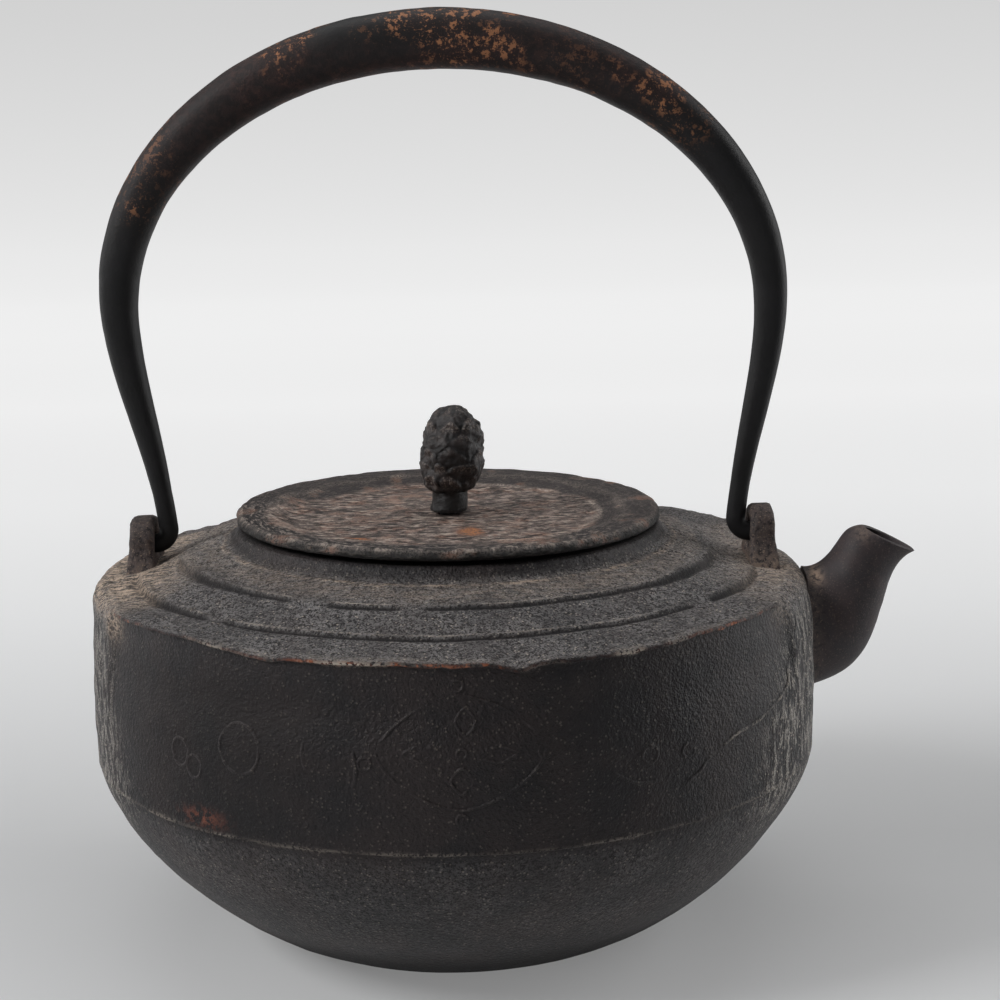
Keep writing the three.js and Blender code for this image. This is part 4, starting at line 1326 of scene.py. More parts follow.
    def build(self) -> None:
        """Makes the medallion with its leaves and beads, the side rings and the strokes."""
        grids = [self.ring(*ring) for ring in (*self.medallion, *self.side_rings)]
        grids += [self.stroke(*stroke) for stroke in self.short_strokes]
        grids.append(self.stroke(self.branch, 0.4, 0.6))
        piece = present("front_relief", grids, "kettle", Finish.ROUGH)
        spots = positions(piece.data)
        spots[:, 0] -= self.body.shift_at(spots[:, 2])
        bearing = signed_bearing(spots)
        r = from_axis(spots)
        proud = smooth(r - self.body.wall_radius(bearing, spots[:, 2]), 0.05, 0.4)
        right = smooth(bearing, 36.0, 46.0)
        bare = ("rust", "tan", "inside", "side", "painted_shade")
        masks = {name: np.zeros(len(spots)) for name in bare}
        masks["dust"] = proud * (0.1 + 0.8 * right)
        rubbed = 0.05 * smooth(noise(spots, 3.0, 131), -0.3, 0.4)
        masks["wear"] = proud * (rubbed + 0.5 * right)
        paint(piece.data, masks)


# Spout


@dataclass
class Spout:
    """The hollow spout: rings between its back line and its underside line."""

    body: KettleBody
    root_z: float = 72.8
    root_half_height: float = 14.6
    root_half_width: float = 14.0
    root_sink: float = 6.0
    back_reach: float = 12.6
    back_z: float = 98.2
    tip_reach: float = 26.1
    tip_z: float = 91.8
    mouth_half_width: float = 7.2
    back_pull: Pair = (0.77, 0.6)
    under_pull: Pair = (0.93, 0.6)
    under_lift: float = 0.85
    root_dip: float = 1.0
    tip_pinch: float = 0.3
    width_power: float = 1.8
    mouth_wall: float = 1.5
    collar_inset: float = 3.2
    collar_wall: float = 2.0
    seat_gap: float = 0.3
    inner_bulge: float = 0.0024
    sides: int = 96
    steps: int = 72

    def ring(self, t: Array, inset: Array, turn: Array) -> Array:
        """Points of the spout's surface: half way between back and underside, plus half their
        distance times cos(turn), plus the half width times sin(turn) across.

        Args:
            t: 0 at the root, 1 at the mouth.
            inset: how far the surface is drawn in, in mm.
            turn: angle round the ring, 0 at the back.
        Returns:
            Points of the broadcast shape.
        """
        t, inset, turn = np.broadcast_arrays(t, inset, turn)
        x = self.body.radius - self.root_sink
        high, low = self.root_z + self.root_half_height, self.root_z - self.root_half_height
        back_x, tip_x = self.body.radius + self.back_reach, self.body.radius + self.tip_reach
        root_pull, end_pull = self.back_pull
        back = [(x, high), (lerp(x, back_x, root_pull), high - self.root_dip)]
        back += [(lerp(x, back_x, end_pull), self.back_z), (back_x, self.back_z)]
        root_pull, end_pull = self.under_pull
        under = [(x, low), (lerp(x, tip_x, root_pull), low - self.root_dip)]
        lifted = lerp(low, self.tip_z, self.under_lift)
        under += [(lerp(x, tip_x, end_pull), lifted), (tip_x, self.tip_z)]
        back, under = bezier(back, t), bezier(under, t)
        middle, half = 0.5 * (back + under), 0.5 * (back - under)
        length = np.linalg.norm(half, axis=-1, keepdims=True)
        half = half / length * (length - inset[..., None])
        width = lerp(self.mouth_half_width, self.root_half_width, (1 - t) ** self.width_power)
        pinch = 1 - self.tip_pinch * t**3 * (0.5 - 0.5 * np.cos(turn))
        across = (width - inset) * np.sin(turn) * pinch
        spot = middle + half * np.cos(turn)[..., None]
        return np.stack([spot[..., 0], -across, spot[..., 1]], axis=-1)

    def leaves_wall(self, turn: Array) -> Array:
        """For each angle round the spout, the t at which its outside comes out of the wall."""
        tries = np.linspace(0.0, 0.6, 240)
        spots = self.ring(tries[:, None], 0.0, turn[None, :])
        wall = self.body.wall_radius(90.0, np.clip(spots[..., 2], 49.0, 84.0))
        corner = self.body.side_top_z - self.body.side_round
        rise = np.clip((spots[..., 2] - corner) / self.body.side_round, 0, 0.98)
        drop = self.body.side_round * (1 - np.cos(np.arcsin(rise)))
        out = np.hypot(spots[..., 0] - self.body.shift, spots[..., 1]) > wall - drop - 0.5
        return tries[np.argmax(out, axis=0)]

    def on_barrel(self, points: Array, reach: float) -> Array:
        """The points moved along X onto a barrel of the given reach, within the body's wall."""
        moved = points.copy()
        bulge = self.inner_bulge * (points[..., 2] - self.body.widest_z) ** 2
        moved[..., 0] = np.sqrt(reach**2 - points[..., 1] ** 2) - bulge
        return moved

    def grid(self) -> Grid:
        """Closed surface: down the channel to the mouth, over the lip, back along the outside
        to the wall, and in through the wall as a collar."""
        turn = round_trip(self.sides)
        t = np.linspace(0.0, 1.0, self.steps)
        wall = lerp(self.collar_inset + self.collar_wall, self.mouth_wall, np.sqrt(t))
        channel = self.ring(t[:, None], wall[:, None], turn[None, :])
        reach = self.body.radius - self.body.wall - 0.4
        behind = channel[:, 0, 0] > reach + 1.0
        channel = np.concatenate([self.on_barrel(channel[:1], reach), channel[behind]])
        outward = np.array([0.38, 0.0, 0.92])
        lip = []
        for share in (0.2, 0.5, 0.8):
            ring = self.ring(1.0, self.mouth_wall * (1 - share), turn)
            lip.append(ring + outward * 0.35 * math.sin(math.pi * share))
        start = self.leaves_wall(turn)
        s = np.linspace(1.0, 0.0, 2 * self.steps)[:, None]
        along = lerp(start[None, :], 1.0, s)
        outside = self.ring(along, 0.0, turn[None, :])
        flare = 0.5 * np.exp(-(along - start[None, :]) * 30.0)
        spread = [0 * flare, -flare * np.sin(turn), flare * np.cos(turn)]
        outside = outside + np.stack(spread, axis=-1)
        shell = Grid(np.concatenate([channel, np.array(lip), outside]), ring_rows=True)
        ripple = 0.1 * fractal(shell.points, 9.0, 3, 151) + 0.04 * noise(shell.points, 2.2, 153)
        ripple[: len(channel) + 3] *= 0.3
        shell = shell.swelled(ripple)
        collar = self.ring(0.0, self.collar_inset, turn)
        plug, tail = self.on_barrel(collar, self.body.radius - 1.2), self.on_barrel(collar, reach)
        return Grid(np.concatenate([shell.points, plug[None], tail[None]]), ring_rows=True)

    def cutter(self) -> Grid:
        """Solid that cuts the opening in the body, a little larger than the collar."""
        ring = self.ring(0.0, self.collar_inset - self.seat_gap, round_trip(64))
        return Grid(np.stack([ring + [-14.0, 0, 0], ring + [16.0, 0, 0]]))

    def build(self) -> None:
        """Makes the spout and its masks."""
        piece = present("spout_casting", [self.grid()], "kettle", Finish.SMOOTH, ["spout"])
        x, y, z = positions(piece.data).T
        near = 1 - smooth(np.hypot(x, y), 90.0, 94.0)
        top = bell(np.hypot(x - 91.0, z - 86.8), 1.5)
        lip = bell(x - self.body.radius - self.back_reach, 2.0) * smooth(z, 94.0, 97.0)
        masks = {"tan": 0.12 * near + 0.9 * top + 0.25 * lip, "tooth": 0.3 * near + 0.06}
        paint(piece.data, masks)


# Lugs


@dataclass
class Lug:
    """A lug: round-topped plate with a worn hole, which widens to its foot."""

    node: str
    sign: float
    middle_x: float = 76.7
    shift_x: float = 0.9
    pivot_z: float = 97.6
    top_radius: float = 6.8
    thickness: float = 6.2
    foot_thickness: float = 7.4
    foot_half_width: float = 11.8
    foot_drop: float = 8.6
    hole_radius: float = 3.8
    edge_round: float = 1.1
    top_power: float = 2.6
    seed: int = 201
    half_section: Sequence[tuple[float, float, float, float]] = (
        (0.0, -1.0, 1.0, -1.0), (0.0, -0.65, 1.0, -0.35), (0.0, 0.0, 1.0, 0.0),
        (0.25, 0.0, 1.0, 0.0), (0.5, 0.0, 1.0, 0.0), (0.75, 0.0, 1.0, 0.0), (1.0, 0.0, 1.0, 0.0),
        (1.0, 0.65, 1.0, -0.3), (1.0, 1.0, 1.0, -1.0), (1.0, 1.0, 0.33, 0.0),
    )

    def edge(self, turn: Array) -> Array:
        """Distance from the pivot to the plate's edge: a circle above, curved flanks below."""
        t = np.linspace(0.0, 1.0, 60)[:, None]
        corners = [(self.top_radius, 0.0), (self.top_radius + 0.8, -3.4)]
        corners.append((self.foot_half_width, -self.foot_drop))
        top, knee, foot = np.array(corners)
        flank = (1 - t) ** 2 * top + 2 * t * (1 - t) * knee + t**2 * foot
        base = np.linspace(1.0, 0.0, 40)[1:, None] * [foot[0], 0.0] + [0.0, foot[1]]
        across, up = np.concatenate([flank, base]).T
        folded = np.abs(np.mod(turn + np.pi, 2 * np.pi) - np.pi)
        below = np.interp(folded, np.arctan2(across, up), np.hypot(across, up))
        above = self.top_radius * squared(folded, self.top_power)
        return np.where(folded < 0.5 * np.pi, above, below)

    def grid(self) -> Grid:
        """Rings round the pivot, by a section from the middle of the hole over one face to the
        edge, mirrored back over the other. A row gives the share of the way from hole to edge,
        the pull outwards from there, the side of the plate and the shift along X, both pull
        and shift in units of the edges' rounding."""
        turn, e = round_trip(128)[:, None], self.edge_round
        rim = self.edge(turn)
        section = np.array(self.half_section)
        mirrored = section[::-1] * [1.0, 1.0, -1.0, -1.0]
        columns = []
        for share, pull, face, shift in [(0.0, -1.0, 0.0, 0.0), *section, *mirrored]:
            reach = lerp(self.hole_radius + e, rim - e, share) + pull * e
            y, z = reach * np.sin(turn), reach * np.cos(turn)
            half = 0.5 * lerp(self.foot_thickness, self.thickness, smooth(z, -6.6, -0.5))
            half = half * lerp(1.0, 0.94, smooth(z, 0.0, self.top_radius))
            columns.append(np.stack([face * half + shift * e, y, z], axis=-1))
        points = np.concatenate(columns, axis=1)
        shell = Grid(points, ring_rows=True)
        dents = 0.16 * noise(points, 2.8, self.seed) + 0.12 * noise(points, 1.3, self.seed + 2)
        moved = shell.swelled(dents).points
        x = self.sign * (self.middle_x + moved[..., 0]) + self.shift_x
        placed = np.stack([x, moved[..., 1], self.pivot_z + moved[..., 2]], axis=-1)
        return Grid(placed, ring_rows=True, turned_over=self.sign < 0)

    def build(self) -> None:
        """Makes the lug and its masks."""
        name = f"{self.node}_casting"
        piece = present(name, [self.grid()], "kettle", Finish.SMOOTH, [self.node])
        z = positions(piece.data)[:, 2]
        low = 1.0 - smooth(z, 91.0, 95.0)
        paint(piece.data, {"tan": 0.12 + 0.3 * low, "tooth": np.full(len(z), 0.85)})


# Bow handle


@dataclass
class Bow:
    """The forged bow: one round bar, thick at the top, drawn out to a hook at each end."""

    lug: Lug
    top_z: float = 219.2
    waist_x: float = 79.5
    waist_z: float = 156.0
    reach: float = 44.5
    drop: float = 34.5
    top_thickness: float = 14.6
    end_thickness: float = 4.8
    flatness: float = 1.05
    taper_power: float = 1.5
    uneven: float = 0.06
    hook_gap: float = 0.6
    bend: float = 3.4
    slant: float = 0.1
    hook_length: float = 9.0
    section_power: float = 2.25
    tip_inset: float = 1.2
    sides: int = 44
    rust_spots: Sequence[Patch] = (
        (-5.7, 224.0, 5.0), (-37.7, 217.5, 4.0), (-30.5, 220.7, 3.0), (-72.0, 187.0, 9.0),
        (-66.8, 196.0, 5.0), (10.0, 222.0, 12.0), (34.0, 213.0, 9.0), (56.0, 201.5, 9.0),
    )

    def half_line(self) -> tuple[Array, float]:
        """Centre line from the top to the right end, and the length at which the bend starts.

        Returns:
            Points (x, z) of bow, leg, bend and pin, and the run up to the bend, in mm.
        """
        lug_face = self.lug.middle_x - 0.5 * self.lug.thickness
        leg_x = lug_face - self.hook_gap - 0.5 * self.end_thickness
        turn = np.linspace(-self.slant, 0.5 * np.pi, 15)
        hook = self.bend * np.stack([1 - np.cos(turn), 1 - np.sin(turn)], axis=-1)
        hook = hook + [leg_x, self.lug.pivot_z]
        waist = np.array([self.waist_x, self.waist_z])
        fall = self.waist_z - hook[0, 1]
        up_the_leg = np.array([math.sin(self.slant), math.cos(self.slant)])
        bow = [(0, self.top_z), (self.reach, self.top_z), waist + [0, self.drop], waist]
        bow = bezier(bow, np.linspace(0, 1, 140))
        leg = [waist, waist - [0, 0.3 * fall], hook[0] + 0.4 * fall * up_the_leg, hook[0]]
        leg = bezier(leg, np.linspace(0, 1, 70)[1:])
        tip = lug_face + self.lug.thickness - self.tip_inset
        pin = np.linspace([leg_x + self.bend, self.lug.pivot_z], [tip, self.lug.pivot_z], 7)[1:]
        straight = np.concatenate([bow, leg])
        run = float(np.linalg.norm(np.diff(straight, axis=0), axis=1).sum())
        return np.concatenate([straight, hook[1:], pin]), run

    def grid(self) -> Grid:
        """The bar: a slightly flattened round section carried along the line, its thickness
        falling by a power of the length, with the marks of the hammer."""
        half, leg_run = self.half_line()
        line = np.concatenate([half[:0:-1] * [-1, 1], half])
        steps = np.linalg.norm(np.diff(half, axis=0), axis=1)
        run = np.concatenate([[0], np.cumsum(steps)])
        share = np.clip(run / (leg_run - self.hook_length), 0, 1)
        share = np.concatenate([share[:0:-1], share])
        taper = share**self.taper_power
        along = unit(np.gradient(line, axis=0))
        out = np.stack([-along[:, 1], along[:, 0]], axis=1)
        uneven = 1 - np.sign(line[:, 0]) * self.uneven * np.sin(np.pi * share**2)
        thick = lerp(self.top_thickness, self.end_thickness, taper) * uneven
        from_end = np.minimum(np.arange(len(line)), np.arange(len(line))[::-1])
        thick = thick * np.sqrt(np.clip((from_end + 0.6) / 3.0, 0, 1)) ** 0.8
        turn = round_trip(self.sides)
        square = squared(turn, self.section_power)
        width = thick * lerp(self.flatness, 1.0, taper)
        reach = 0.5 * thick[:, None] * np.cos(turn) * square
        spot = line[:, None, :] + out[:, None, :] * reach[..., None]
        across = -0.5 * width[:, None] * np.sin(turn) * square
        points = np.stack([spot[..., 0], across, spot[..., 1]], axis=-1)
        hammer = 0.1 * noise(points, 7.0, 301) + 0.06 * noise(points, 2.2, 303)
        calm = np.clip(thick / self.top_thickness, 0.25, 1)[:, None]
        shell = Grid(points).swelled(hammer * calm - 0.05)
        shift = self.lug.shift_x * (1.0 - smooth(shell.points[..., 2], 115.0, 200.0))
        shell.points[..., 0] += shift
        return shell

    def build(self) -> None:
        """Makes the bow and its masks."""
        piece = present("bow_bar", [self.grid()], "bow", Finish.BLACK, ["handle"])
        spots = positions(piece.data)
        x, y, z = spots.T
        spotty = smooth(fractal(spots, 9.0, 3, 311), -0.2, 0.6)
        rust = 0.35 * smooth(z, 190.0, 212.0) * spotty
        for middle_x, middle_z, size in self.rust_spots:
            rust = rust + bell(np.hypot(x - middle_x, z - middle_z), size) * (0.35 + 0.65 * spotty)
        inner = smooth(self.top_z - z + 6.0 * smooth(np.abs(x), 10.0, 60.0), -1.0, 6.0)
        left = inner * smooth(z, 176.0, 200.0) * (x < 10.0)
        right = smooth(z, 196.0, 214.0) * smooth(x, -10.0, 30.0)
        bare = (left + right) * (0.4 + 0.6 * spotty) * (0.6 + 0.4 * (y < 0.0))
        paint(piece.data, {"bare": np.clip(bare + 0.3 * rust, 0, 1), "rust": np.clip(rust, 0, 1)})


# Lid, knob and washer


@dataclass
class Tilt:
    """How the loose lid lies in the mouth: a little raised, and lower towards the spout."""

    raised: float = 0.3
    slope: float = 0.011

    def laid(self, points: Array) -> Array:
        """Points moved up by the raise less the slope times x."""
        moved = points.copy()
        moved[..., 2] += self.raised - self.slope * points[..., 0]
        return moved


@dataclass
class Lid:
    """The lid: thin dished disc, raised wrinkled rim, flange below and a hole for the tang."""

    tilt: Tilt
    seat_z: float = 102.3
    radius: float = 52.7
    thickness: float = 3.1
    rim_width: float = 9.6
    rim_rise: float = 1.9
    lifted_edge: float = 0.55
    seat_radius: float = 47.8
    flange_radius: float = 43.3
    flange_depth: float = 7.0
    flange_thickness: float = 2.4
    hole_radius: float = 2.7
    dish_radius: Pair = (37.8, 46.5)
    columns: int = 560

    def profile(self) -> Array:
        """Closed profile (radius, height) of the lid: coarse below, fine on top."""
        under, top = self.seat_z, self.seat_z + self.thickness
        plate_under, plate_top = under - 1.3, top - self.rim_rise
        rim_in = self.radius - self.rim_width
        inner = self.flange_radius - self.flange_thickness
        low_edge = (self.radius - 0.7, under + self.lifted_edge)
        flange_foot = under - self.flange_depth
        below = [
            (self.hole_radius, plate_under), (inner, plate_under, 1.2), (inner, flange_foot, 0.4),
            (self.flange_radius, flange_foot, 0.5), (self.flange_radius, under, 0.3),
            (self.seat_radius, under, 1.0), low_edge,
        ]
        above = [
            low_edge, (self.radius, under + self.lifted_edge + 0.8, 0.7),
            (self.radius - 0.6, top - 0.2, 0.7), (self.radius - 2.0, top + 0.1, 1.0),
            (rim_in + 1.0, top + 0.1, 1.8), (rim_in - 3.4, plate_top + 0.3, 2.4),
            (rim_in - 7.5, plate_top, 3.0), (self.hole_radius, plate_top),
        ]
        return np.concatenate([rounded_profile(below, 2.2)[:-1], rounded_profile(above, 0.45)])

    def grid(self) -> Grid:
        """The profile carried round, with crinkles along the rim, a wrinkled dish and a
        chipped edge."""
        line = self.profile()
        points = carried_round(line, self.columns)
        bearing = np.degrees(round_trip(self.columns))
        r, z = from_axis(points), points[..., 2]
        topside = smooth(z, self.seat_z + 0.7, self.seat_z + 1.2)
        edge = smooth(r, self.radius - 2.0, self.radius)
        rim = smooth(r, self.radius - 14.0, self.radius - 9.0) * topside
        pressed = at_bearing(16.0, bearing, r + z)
        bark = 0.13 * noise(pressed, 1.25, 401) + 0.1 * noise(pressed, 0.8, 403)
        dish = 0.13 * fractal(points, (5.0, 3.0, 3.0), 3, 405) + 0.07 * noise(points, 1.7, 407)
        chips = -0.4 * smooth(noise(points, 4.6, 411), 0.3, 0.8) + 0.13 * noise(points, 2.6, 413)
        amount = bark * rim + dish * topside * (1 - 0.6 * rim) + chips * edge
        shell = Grid(points, ring_rows=True).swelled(amount - 0.1 * edge)
        shell.points = self.tilt.laid(shell.points)
        return shell

    def build(self) -> None:
        """Makes the lid and its masks."""
        piece = present("lid_disc", [self.grid()], "lid", Finish.WORN, ["lid"])
        spots = positions(piece.data)
        x, y, z = spots.T
        r, z = np.hypot(x, y), z - self.tilt.raised + self.tilt.slope * x
        topside = smooth(z, self.seat_z + 0.7, self.seat_z + 1.3)
        wobble = 1.5 * fractal(spots, 12.0, 3, 421)
        bearing = signed_bearing(spots)
        towards_front = smooth(np.cos(np.radians(bearing) + 0.45), -0.2, 0.7)
        dish_edge = lerp(*self.dish_radius, towards_front)
        dish = topside * (1 - smooth(r + wobble, dish_edge - 1.5, dish_edge + 1.5))
        patches = smooth(fractal(spots, 7.0, 3, 431), 0.25, 0.9)
        rust = bell(np.hypot(x - 5.0, (y + 23.0) * 0.7), 3.0)
        rust = rust + bell(np.hypot((x + 21.6) * 0.8, y + 32.0), 3.5) + 0.4 * patches * topside
        edge = smooth(r, self.radius - 2.2, self.radius - 1.0) * bell(z - self.seat_z - 3.0, 0.7)
        line = bell(r - 37.5, 0.9) * topside * smooth(bearing, 20.0, 60.0)
        line = line * smooth(noise(spots, 5.0, 441), -0.6, 0.3)
        crests = bell(r + wobble - 43.5, 1.2) * topside * (0.3 + 0.7 * patches)
        wear = 0.15 * edge + 0.55 * line + 0.5 * crests + 0.2 * patches * topside
        below = 1 - smooth(z, self.seat_z + 2.3, self.seat_z + 3.0)
        masks = {"dish": dish, "rust": np.clip(rust, 0, 1), "wear": np.clip(wear, 0, 1)}
        # Painted shade: the rim's outer edge face and the underside at the edge, painted near black
        # as the shadowed gap under the lid.
        masks["face"] = smooth(r, self.radius - 2.0, self.radius - 1.0) * below
        masks["calm"] = topside * (1 - dish) * (1 - towards_front)
        paint(piece.data, masks)


@dataclass
class PineCone:
    """The knob: an egg of coarse, irregular scales on a short neck, its tang and peened end."""

    tilt: Tilt
    base_z: float = 104.3
    radius: float = 7.8
    height: float = 26.2
    belly_height: float = 12.4
    neck_radius: float = 4.4
    neck_height: float = 4.6
    rows: int = 6
    around: int = 7
    scale_depth: float = 0.6
    lean: float = 1.6
    shift_x: float = 0.5
    tang_radius: float = 2.2
    peen_radius: float = 3.4
    peen_height: float = 1.4
    peen_z: float = 99.4
    columns: int = 168
    blunt_power: float = 2.25
    peen_outline: Outline = ((0.6, -1.0), (0.92, -0.8), (1.0, -0.45))
    neck_outline: Outline = (
        (1.02, 0.0), (1.06, 0.3), (1.04, 1.0), (1.02, 1.8), (1.0, 2.8), (1.0, 3.8),
    )

    def egg(self, height: Array) -> Array:
        """Radius at a height: half of a full ellipse above the belly, part of one below."""
        above = height - self.belly_height
        shrink = math.sqrt(1 - (self.neck_radius / self.radius) ** 2)
        low = (self.belly_height - self.neck_height) / shrink
        reach = np.where(above > 0, self.height - self.belly_height, low)
        blunt = np.where(above > 0, self.blunt_power, 2.0)
        return self.radius * np.clip(1 - np.abs(above / reach) ** blunt, 0, 1) ** (1 / blunt)

    def scales(self, turn: Array, height: Array) -> Array:
        """Height of the scales from 0 to 1: staggered rows of lumps on a warped net, each
        rising towards its blunt upper tip and dropping at once to the row above."""
        turn, height = np.broadcast_arrays(turn, height)
        on_cone = at_bearing(6.0, np.degrees(turn), height)
        turn = turn + 0.3 * noise(on_cone, 5.0, 511)
        height = height + 1.0 * noise(on_cone, 4.5, 513)
        row = (height - self.neck_height) / (self.height - self.neck_height) * self.rows
        total = np.zeros(row.shape)
        for k in range(-1, self.rows + 1):
            column = turn * self.around / (2 * np.pi) + 0.5 * (k % 2) + 0.13 * math.sin(5.1 * k)
            off = np.abs(column - np.round(column)) * 2
            each = np.stack([np.round(column) * 9.0, 0 * row + 7.0 * k, 0 * row], axis=-1)
            uneven = 1.0 + 0.5 * noise(each, 4.0, 515)
            tip = k + 1.22 - 0.7 * off**1.8
            rise = np.clip((row - (k - 0.25)) / (tip - (k - 0.25)), 0, 1)
            lump = uneven * rise * (1 - 0.6 * off**2) * (1 - smooth(row, tip - 0.12, tip + 0.12))
            total = np.maximum(total, lump)
        return np.clip(total, 0, 1.2)

    def grid(self) -> Grid:
        """Peened end, tang, neck and cone as one closed surface."""
        turn = round_trip(self.columns)
        line = [
            (self.peen_radius * r, self.peen_z + self.peen_height * z) for r, z in self.peen_outline
        ]
        line.append((0.97 * self.peen_radius, self.peen_z - 0.05))
        line += [(self.tang_radius, self.peen_z), (self.tang_radius, self.base_z)]
        line += [(self.neck_radius * r, self.base_z + z) for r, z in self.neck_outline]
        share = np.sin(0.5 * np.pi * np.linspace(0, 0.985, 118)) ** 1.15
        height = lerp(self.neck_height, self.height, share)
        depth = self.scale_depth * smooth(height, self.neck_height, self.neck_height + 3.0)
        depth = depth * (1.0 - 0.4 * smooth(height, self.height - 4.0, self.height))
        lumps = self.scales(turn[None, :], height[:, None]) - 0.72
        radius = np.maximum(self.egg(height)[:, None] + depth[:, None] * lumps, 0.35)
        cone = at_bearing(radius, np.degrees(turn)[None, :], self.base_z + height[:, None])
        craggy = 0.6 * noise(cone, 3.2, 501) + 0.42 * noise(cone, 1.6, 503)
        craggy = craggy + 0.2 * noise(cone, 0.8, 505)
        cone = Grid(cone).swelled(craggy * smooth(radius, 1.0, 4.0)).points
        points = np.concatenate([carried_round(np.array(line), self.columns), cone])
        low, high = self.base_z + 4.0, self.base_z + self.height
        points[..., 0] += self.lean * np.clip((points[..., 2] - low) / (high - low), 0, 1.2)
        on_lid = smooth(points[..., 2], self.base_z - 1.0, self.base_z + 3.0)
        points[..., 0] += self.shift_x * on_lid
        return Grid(self.tilt.laid(points))

    def build(self) -> None:
        """Makes the knob and its masks."""
        piece = present("pine_cone", [self.grid()], "knob", Finish.KNOB, ["knob"])
        spots = positions(piece.data)
        height = spots[:, 2] - self.base_z - self.tilt.raised
        lean = self.shift_x + self.lean * np.clip((height - 4.0) / (self.height - 4.0), 0, 1.2)
        upright = spots - np.stack([lean, 0 * lean, 0 * lean], axis=-1)
        turn = np.radians(signed_bearing(upright))
        tip = self.scales(turn, height) * smooth(height, self.neck_height, self.neck_height + 2)
        paint(piece.data, {"tip": np.clip(tip, 0, 1)})


@dataclass
class Washer:
    """The disc under the lid that the tang is peened over."""

    tilt: Tilt
    top_z: float = 100.7
    thickness: float = 1.0
    radius: float = 6.0
    hole_radius: float = 2.7

    def build(self) -> None:
        """Turns the rounded profile and makes the washer."""
        low = self.top_z - self.thickness
        corners = (
            (self.hole_radius, low), (self.radius, low, 0.3),
            (self.radius, self.top_z, 0.3), (self.hole_radius, self.top_z),
        )
        points = carried_round(rounded_profile(corners, 0.4), 72)
        grids = [Grid(self.tilt.laid(points), ring_rows=True)]
        mesh = present("tang_washer", grids, "lid", Finish.SMOOTH, ["knob_washer"]).data
        count = len(mesh.vertices)
        paint(mesh, {"tan": np.full(count, 0.2), "tooth": np.full(count, 0.3)})


# Studio


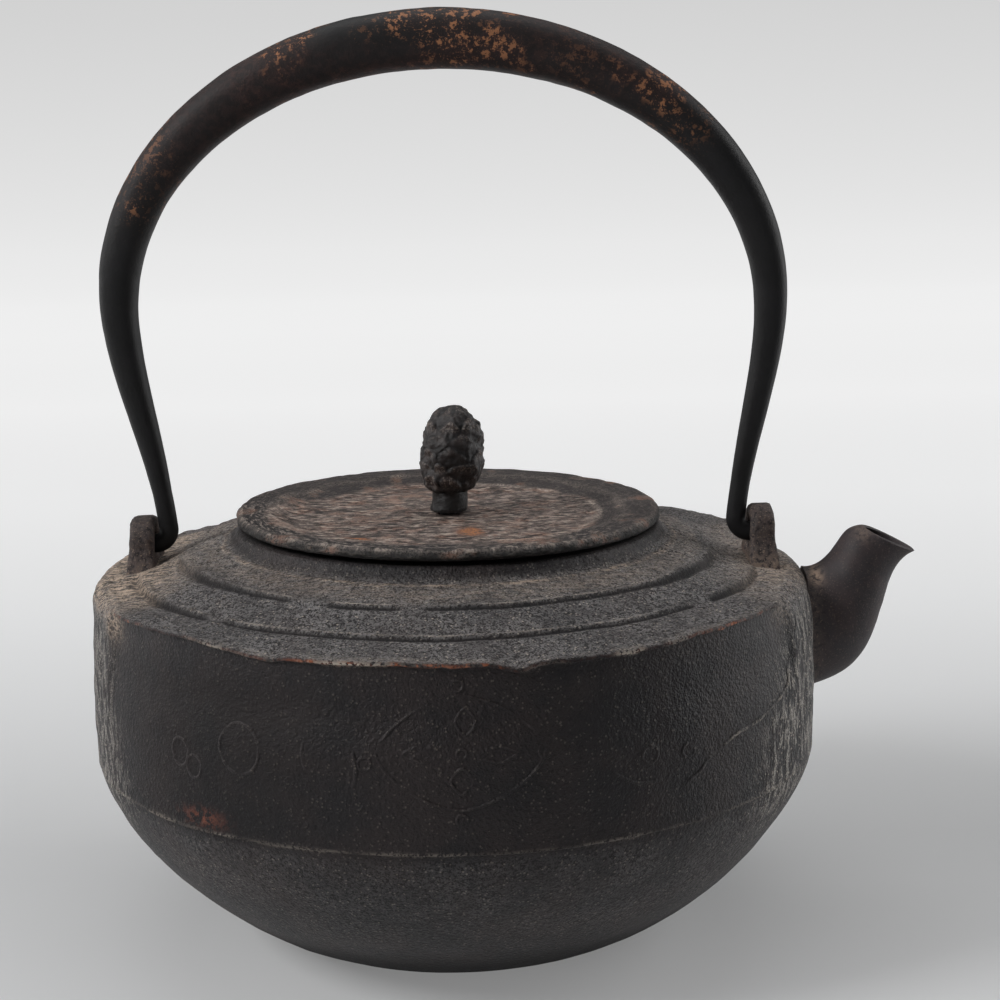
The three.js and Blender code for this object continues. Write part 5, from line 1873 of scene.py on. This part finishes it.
@dataclass
class Studio:
    """Pale glossy floor, a separate backdrop that curves up behind it, soft lights and the
    camera. Floor and backdrop carry one glow, painted light set by the run from the front edge: it
    grows overall towards the back, is raised just in front of the kettle, and dips beside it to
    paint a darker shadow band across the floor."""

    camera_x: float = 12.9
    distance: float = 517.0
    camera_height: float = 209.0
    pitch: float = 11.19
    roll: float = -1.18
    lens: float = 76.3
    floor_end: float = 1.3
    room_front: float = -3.0
    room_back: float = 2.4
    room_height: float = 3.5
    half_width: float = 3.5
    curve: float = 0.8
    world_colour: Colour = (0.8, 0.82, 0.85, 1.0)
    world_power: float = 0.08
    # Painted light: glow by run along floor and backdrop. The rise at 2.93 lifts the floor round
    # the kettle's front, and the dip from 2.98 to 3.085 paints a darker shadow band across the
    # floor beside the kettle.
    glow: Outline = (
        (0.0, 0.02), (2.84, 0.03), (2.93, 0.23), (2.98, 0.18), (3.04, 0.13), (3.085, 0.15),
        (3.185, 0.27), (3.33, 0.43), (3.54, 0.605), (3.88, 0.79), (4.15, 0.835), (4.3, 0.845),
        (4.54, 0.839), (4.82, 0.807), (4.94, 0.768), (5.154, 0.701), (5.33, 0.644), (7.0, 0.6),
    )

    def sheet(self, name: str, line: Array, start: float) -> bpy.types.Object:
        """A sheet carried across the room along a (y, z) line in metres, with its glow and
        its lit share painted on."""
        across = np.linspace(-self.half_width, self.half_width, 61)
        points = np.stack(np.broadcast_arrays(across, line[:, :1], line[:, 1:]), axis=-1)
        mesh = mesh_from(name, [Grid(points / MM, open_columns=True)])
        steps = np.linalg.norm(np.diff(line, axis=0), axis=1)
        run = start + np.concatenate([[0], np.cumsum(steps)])
        glow = np.interp(run, *np.array(self.glow).T)
        lit = 1.0 - smooth(run, 3.1, self.floor_end - self.room_front)
        paint(mesh, {"glow": np.repeat(glow, len(across)), "lit": np.repeat(lit, len(across))})
        piece = link(bpy.data.objects.new(name, mesh))
        mesh.materials.append(self.paper(name))
        return piece

    def paper(self, name: str) -> bpy.types.Material:
        """The sheet's finish: grey paper where it is lit, and its own glow."""
        s = Shader(name)
        glow, lit = s.mask("glow"), s.mask("lit")
        colour = s.blend(lit, (0.0, 0.0, 0.0, 1), (0.5, 0.505, 0.51, 1))
        shade = s.blend(glow, (0.0, 0.0, 0.0, 1), (1.0, 1.0, 1.0, 1))
        constants = {"Specular IOR Level": 0.25, "Roughness": 0.32, "Emission Strength": 1.0}
        return s.surface(constants, {"Base Color": colour, "Emission Color": shade})

    def sweep(self) -> None:
        """The floor up to its end, and the backdrop on from there, hidden from reflections."""
        end, foot = self.floor_end, self.room_back - self.curve
        flat = np.linspace([self.room_front, 0.0], [end, 0.0], 190)
        self.sheet("floor", flat, 0.0)
        rest = np.linspace([end, 0.0], [foot, 0.0], 12)
        turn = np.linspace(0, 0.5 * np.pi, 40)[1:]
        bend = self.curve * np.stack([np.sin(turn), 1 - np.cos(turn)], axis=-1) + [foot, 0.0]
        top = [self.room_back, self.room_height]
        wall = np.linspace([self.room_back, self.curve], top, 21)[1:]
        line = np.concatenate([rest, bend, wall])
        backdrop = self.sheet("backdrop", line, end - self.room_front)
        backdrop.visible_glossy = False
        backdrop.visible_diffuse = False

    def light(
        self, name: str, place: Sequence[float], aim_z: float, size: Pair, power: float
    ) -> None:
        """A soft box that shines from place towards a height on the kettle's axis, size wide
        and high, in metres."""
        lamp = bpy.data.lights.new(name, "AREA")
        lamp.shape = "RECTANGLE"
        lamp.size, lamp.size_y = size
        lamp.energy = power
        holder = link(bpy.data.objects.new(name, lamp))
        holder.location = place
        towards = Vector((0.0, 0.0, aim_z)) - Vector(place)
        holder.rotation_euler = towards.to_track_quat("-Z", "Y").to_euler()

    def lights(self) -> None:
        """Overhead soft box, key from the front left, rim boxes at both sides, a weak fill."""
        self.light("overhead", (0.0, 0.35, 1.25), 0.1, (1.3, 0.9), 5.9)
        self.light("key_left", (-0.96, -0.44, 0.82), 0.08, (0.42, 0.42), 9.2)
        self.light("rim_left", (-0.95, 0.45, 0.3), 0.08, (0.5, 0.9), 1.8)
        self.light("rim_right", (0.95, 0.3, 0.4), 0.08, (0.5, 0.9), 4.5)
        self.light("fill", (0.1, -1.4, 0.6), 0.1, (1.2, 0.8), 1.0)
        world = bpy.data.worlds.new("room")
        world.use_nodes = True
        background = world.node_tree.nodes["Background"]
        background.inputs["Color"].default_value = self.world_colour
        background.inputs["Strength"].default_value = self.world_power
        bpy.context.scene.world = world

    def camera(self) -> None:
        """The camera of the photograph: level axis along +Y, tipped down and rolled."""
        lens = bpy.data.cameras.new("photograph")
        lens.lens, lens.sensor_width, lens.sensor_fit = self.lens, 36.0, "HORIZONTAL"
        lens.clip_start, lens.clip_end = 0.01, 20.0
        holder = link(bpy.data.objects.new("photograph", lens))
        tip = Matrix.Rotation(math.radians(90.0 - self.pitch), 4, "X")
        roll = Matrix.Rotation(math.radians(self.roll), 4, "Z")
        place = Vector((self.camera_x, -self.distance, self.camera_height)) * MM
        holder.matrix_world = Matrix.Translation(place) @ tip @ roll
        bpy.context.scene.camera = holder

    def build(self) -> None:
        """Sets up the floor, the lights, the camera and the view's colour handling."""
        self.sweep()
        self.lights()
        self.camera()
        bpy.context.scene.view_settings.view_transform = "Standard"


def main() -> None:
    """Builds the kettle piece by piece, then the studio."""
    logging.basicConfig(level=logging.INFO, format="%(name)s %(message)s")
    body = KettleBody()
    spout = Spout(body)
    body.build(spout.cutter())
    Relief(body).build()
    spout.build()
    lug = Lug("lug_spout_side", 1.0)
    lug.build()
    Lug("lug_rear_side", -1.0, seed=221).build()
    Bow(lug).build()
    tilt = Tilt()
    Lid(tilt).build()
    PineCone(tilt).build()
    Washer(tilt).build()
    Studio().build()


if __name__ == "__main__":
    main()
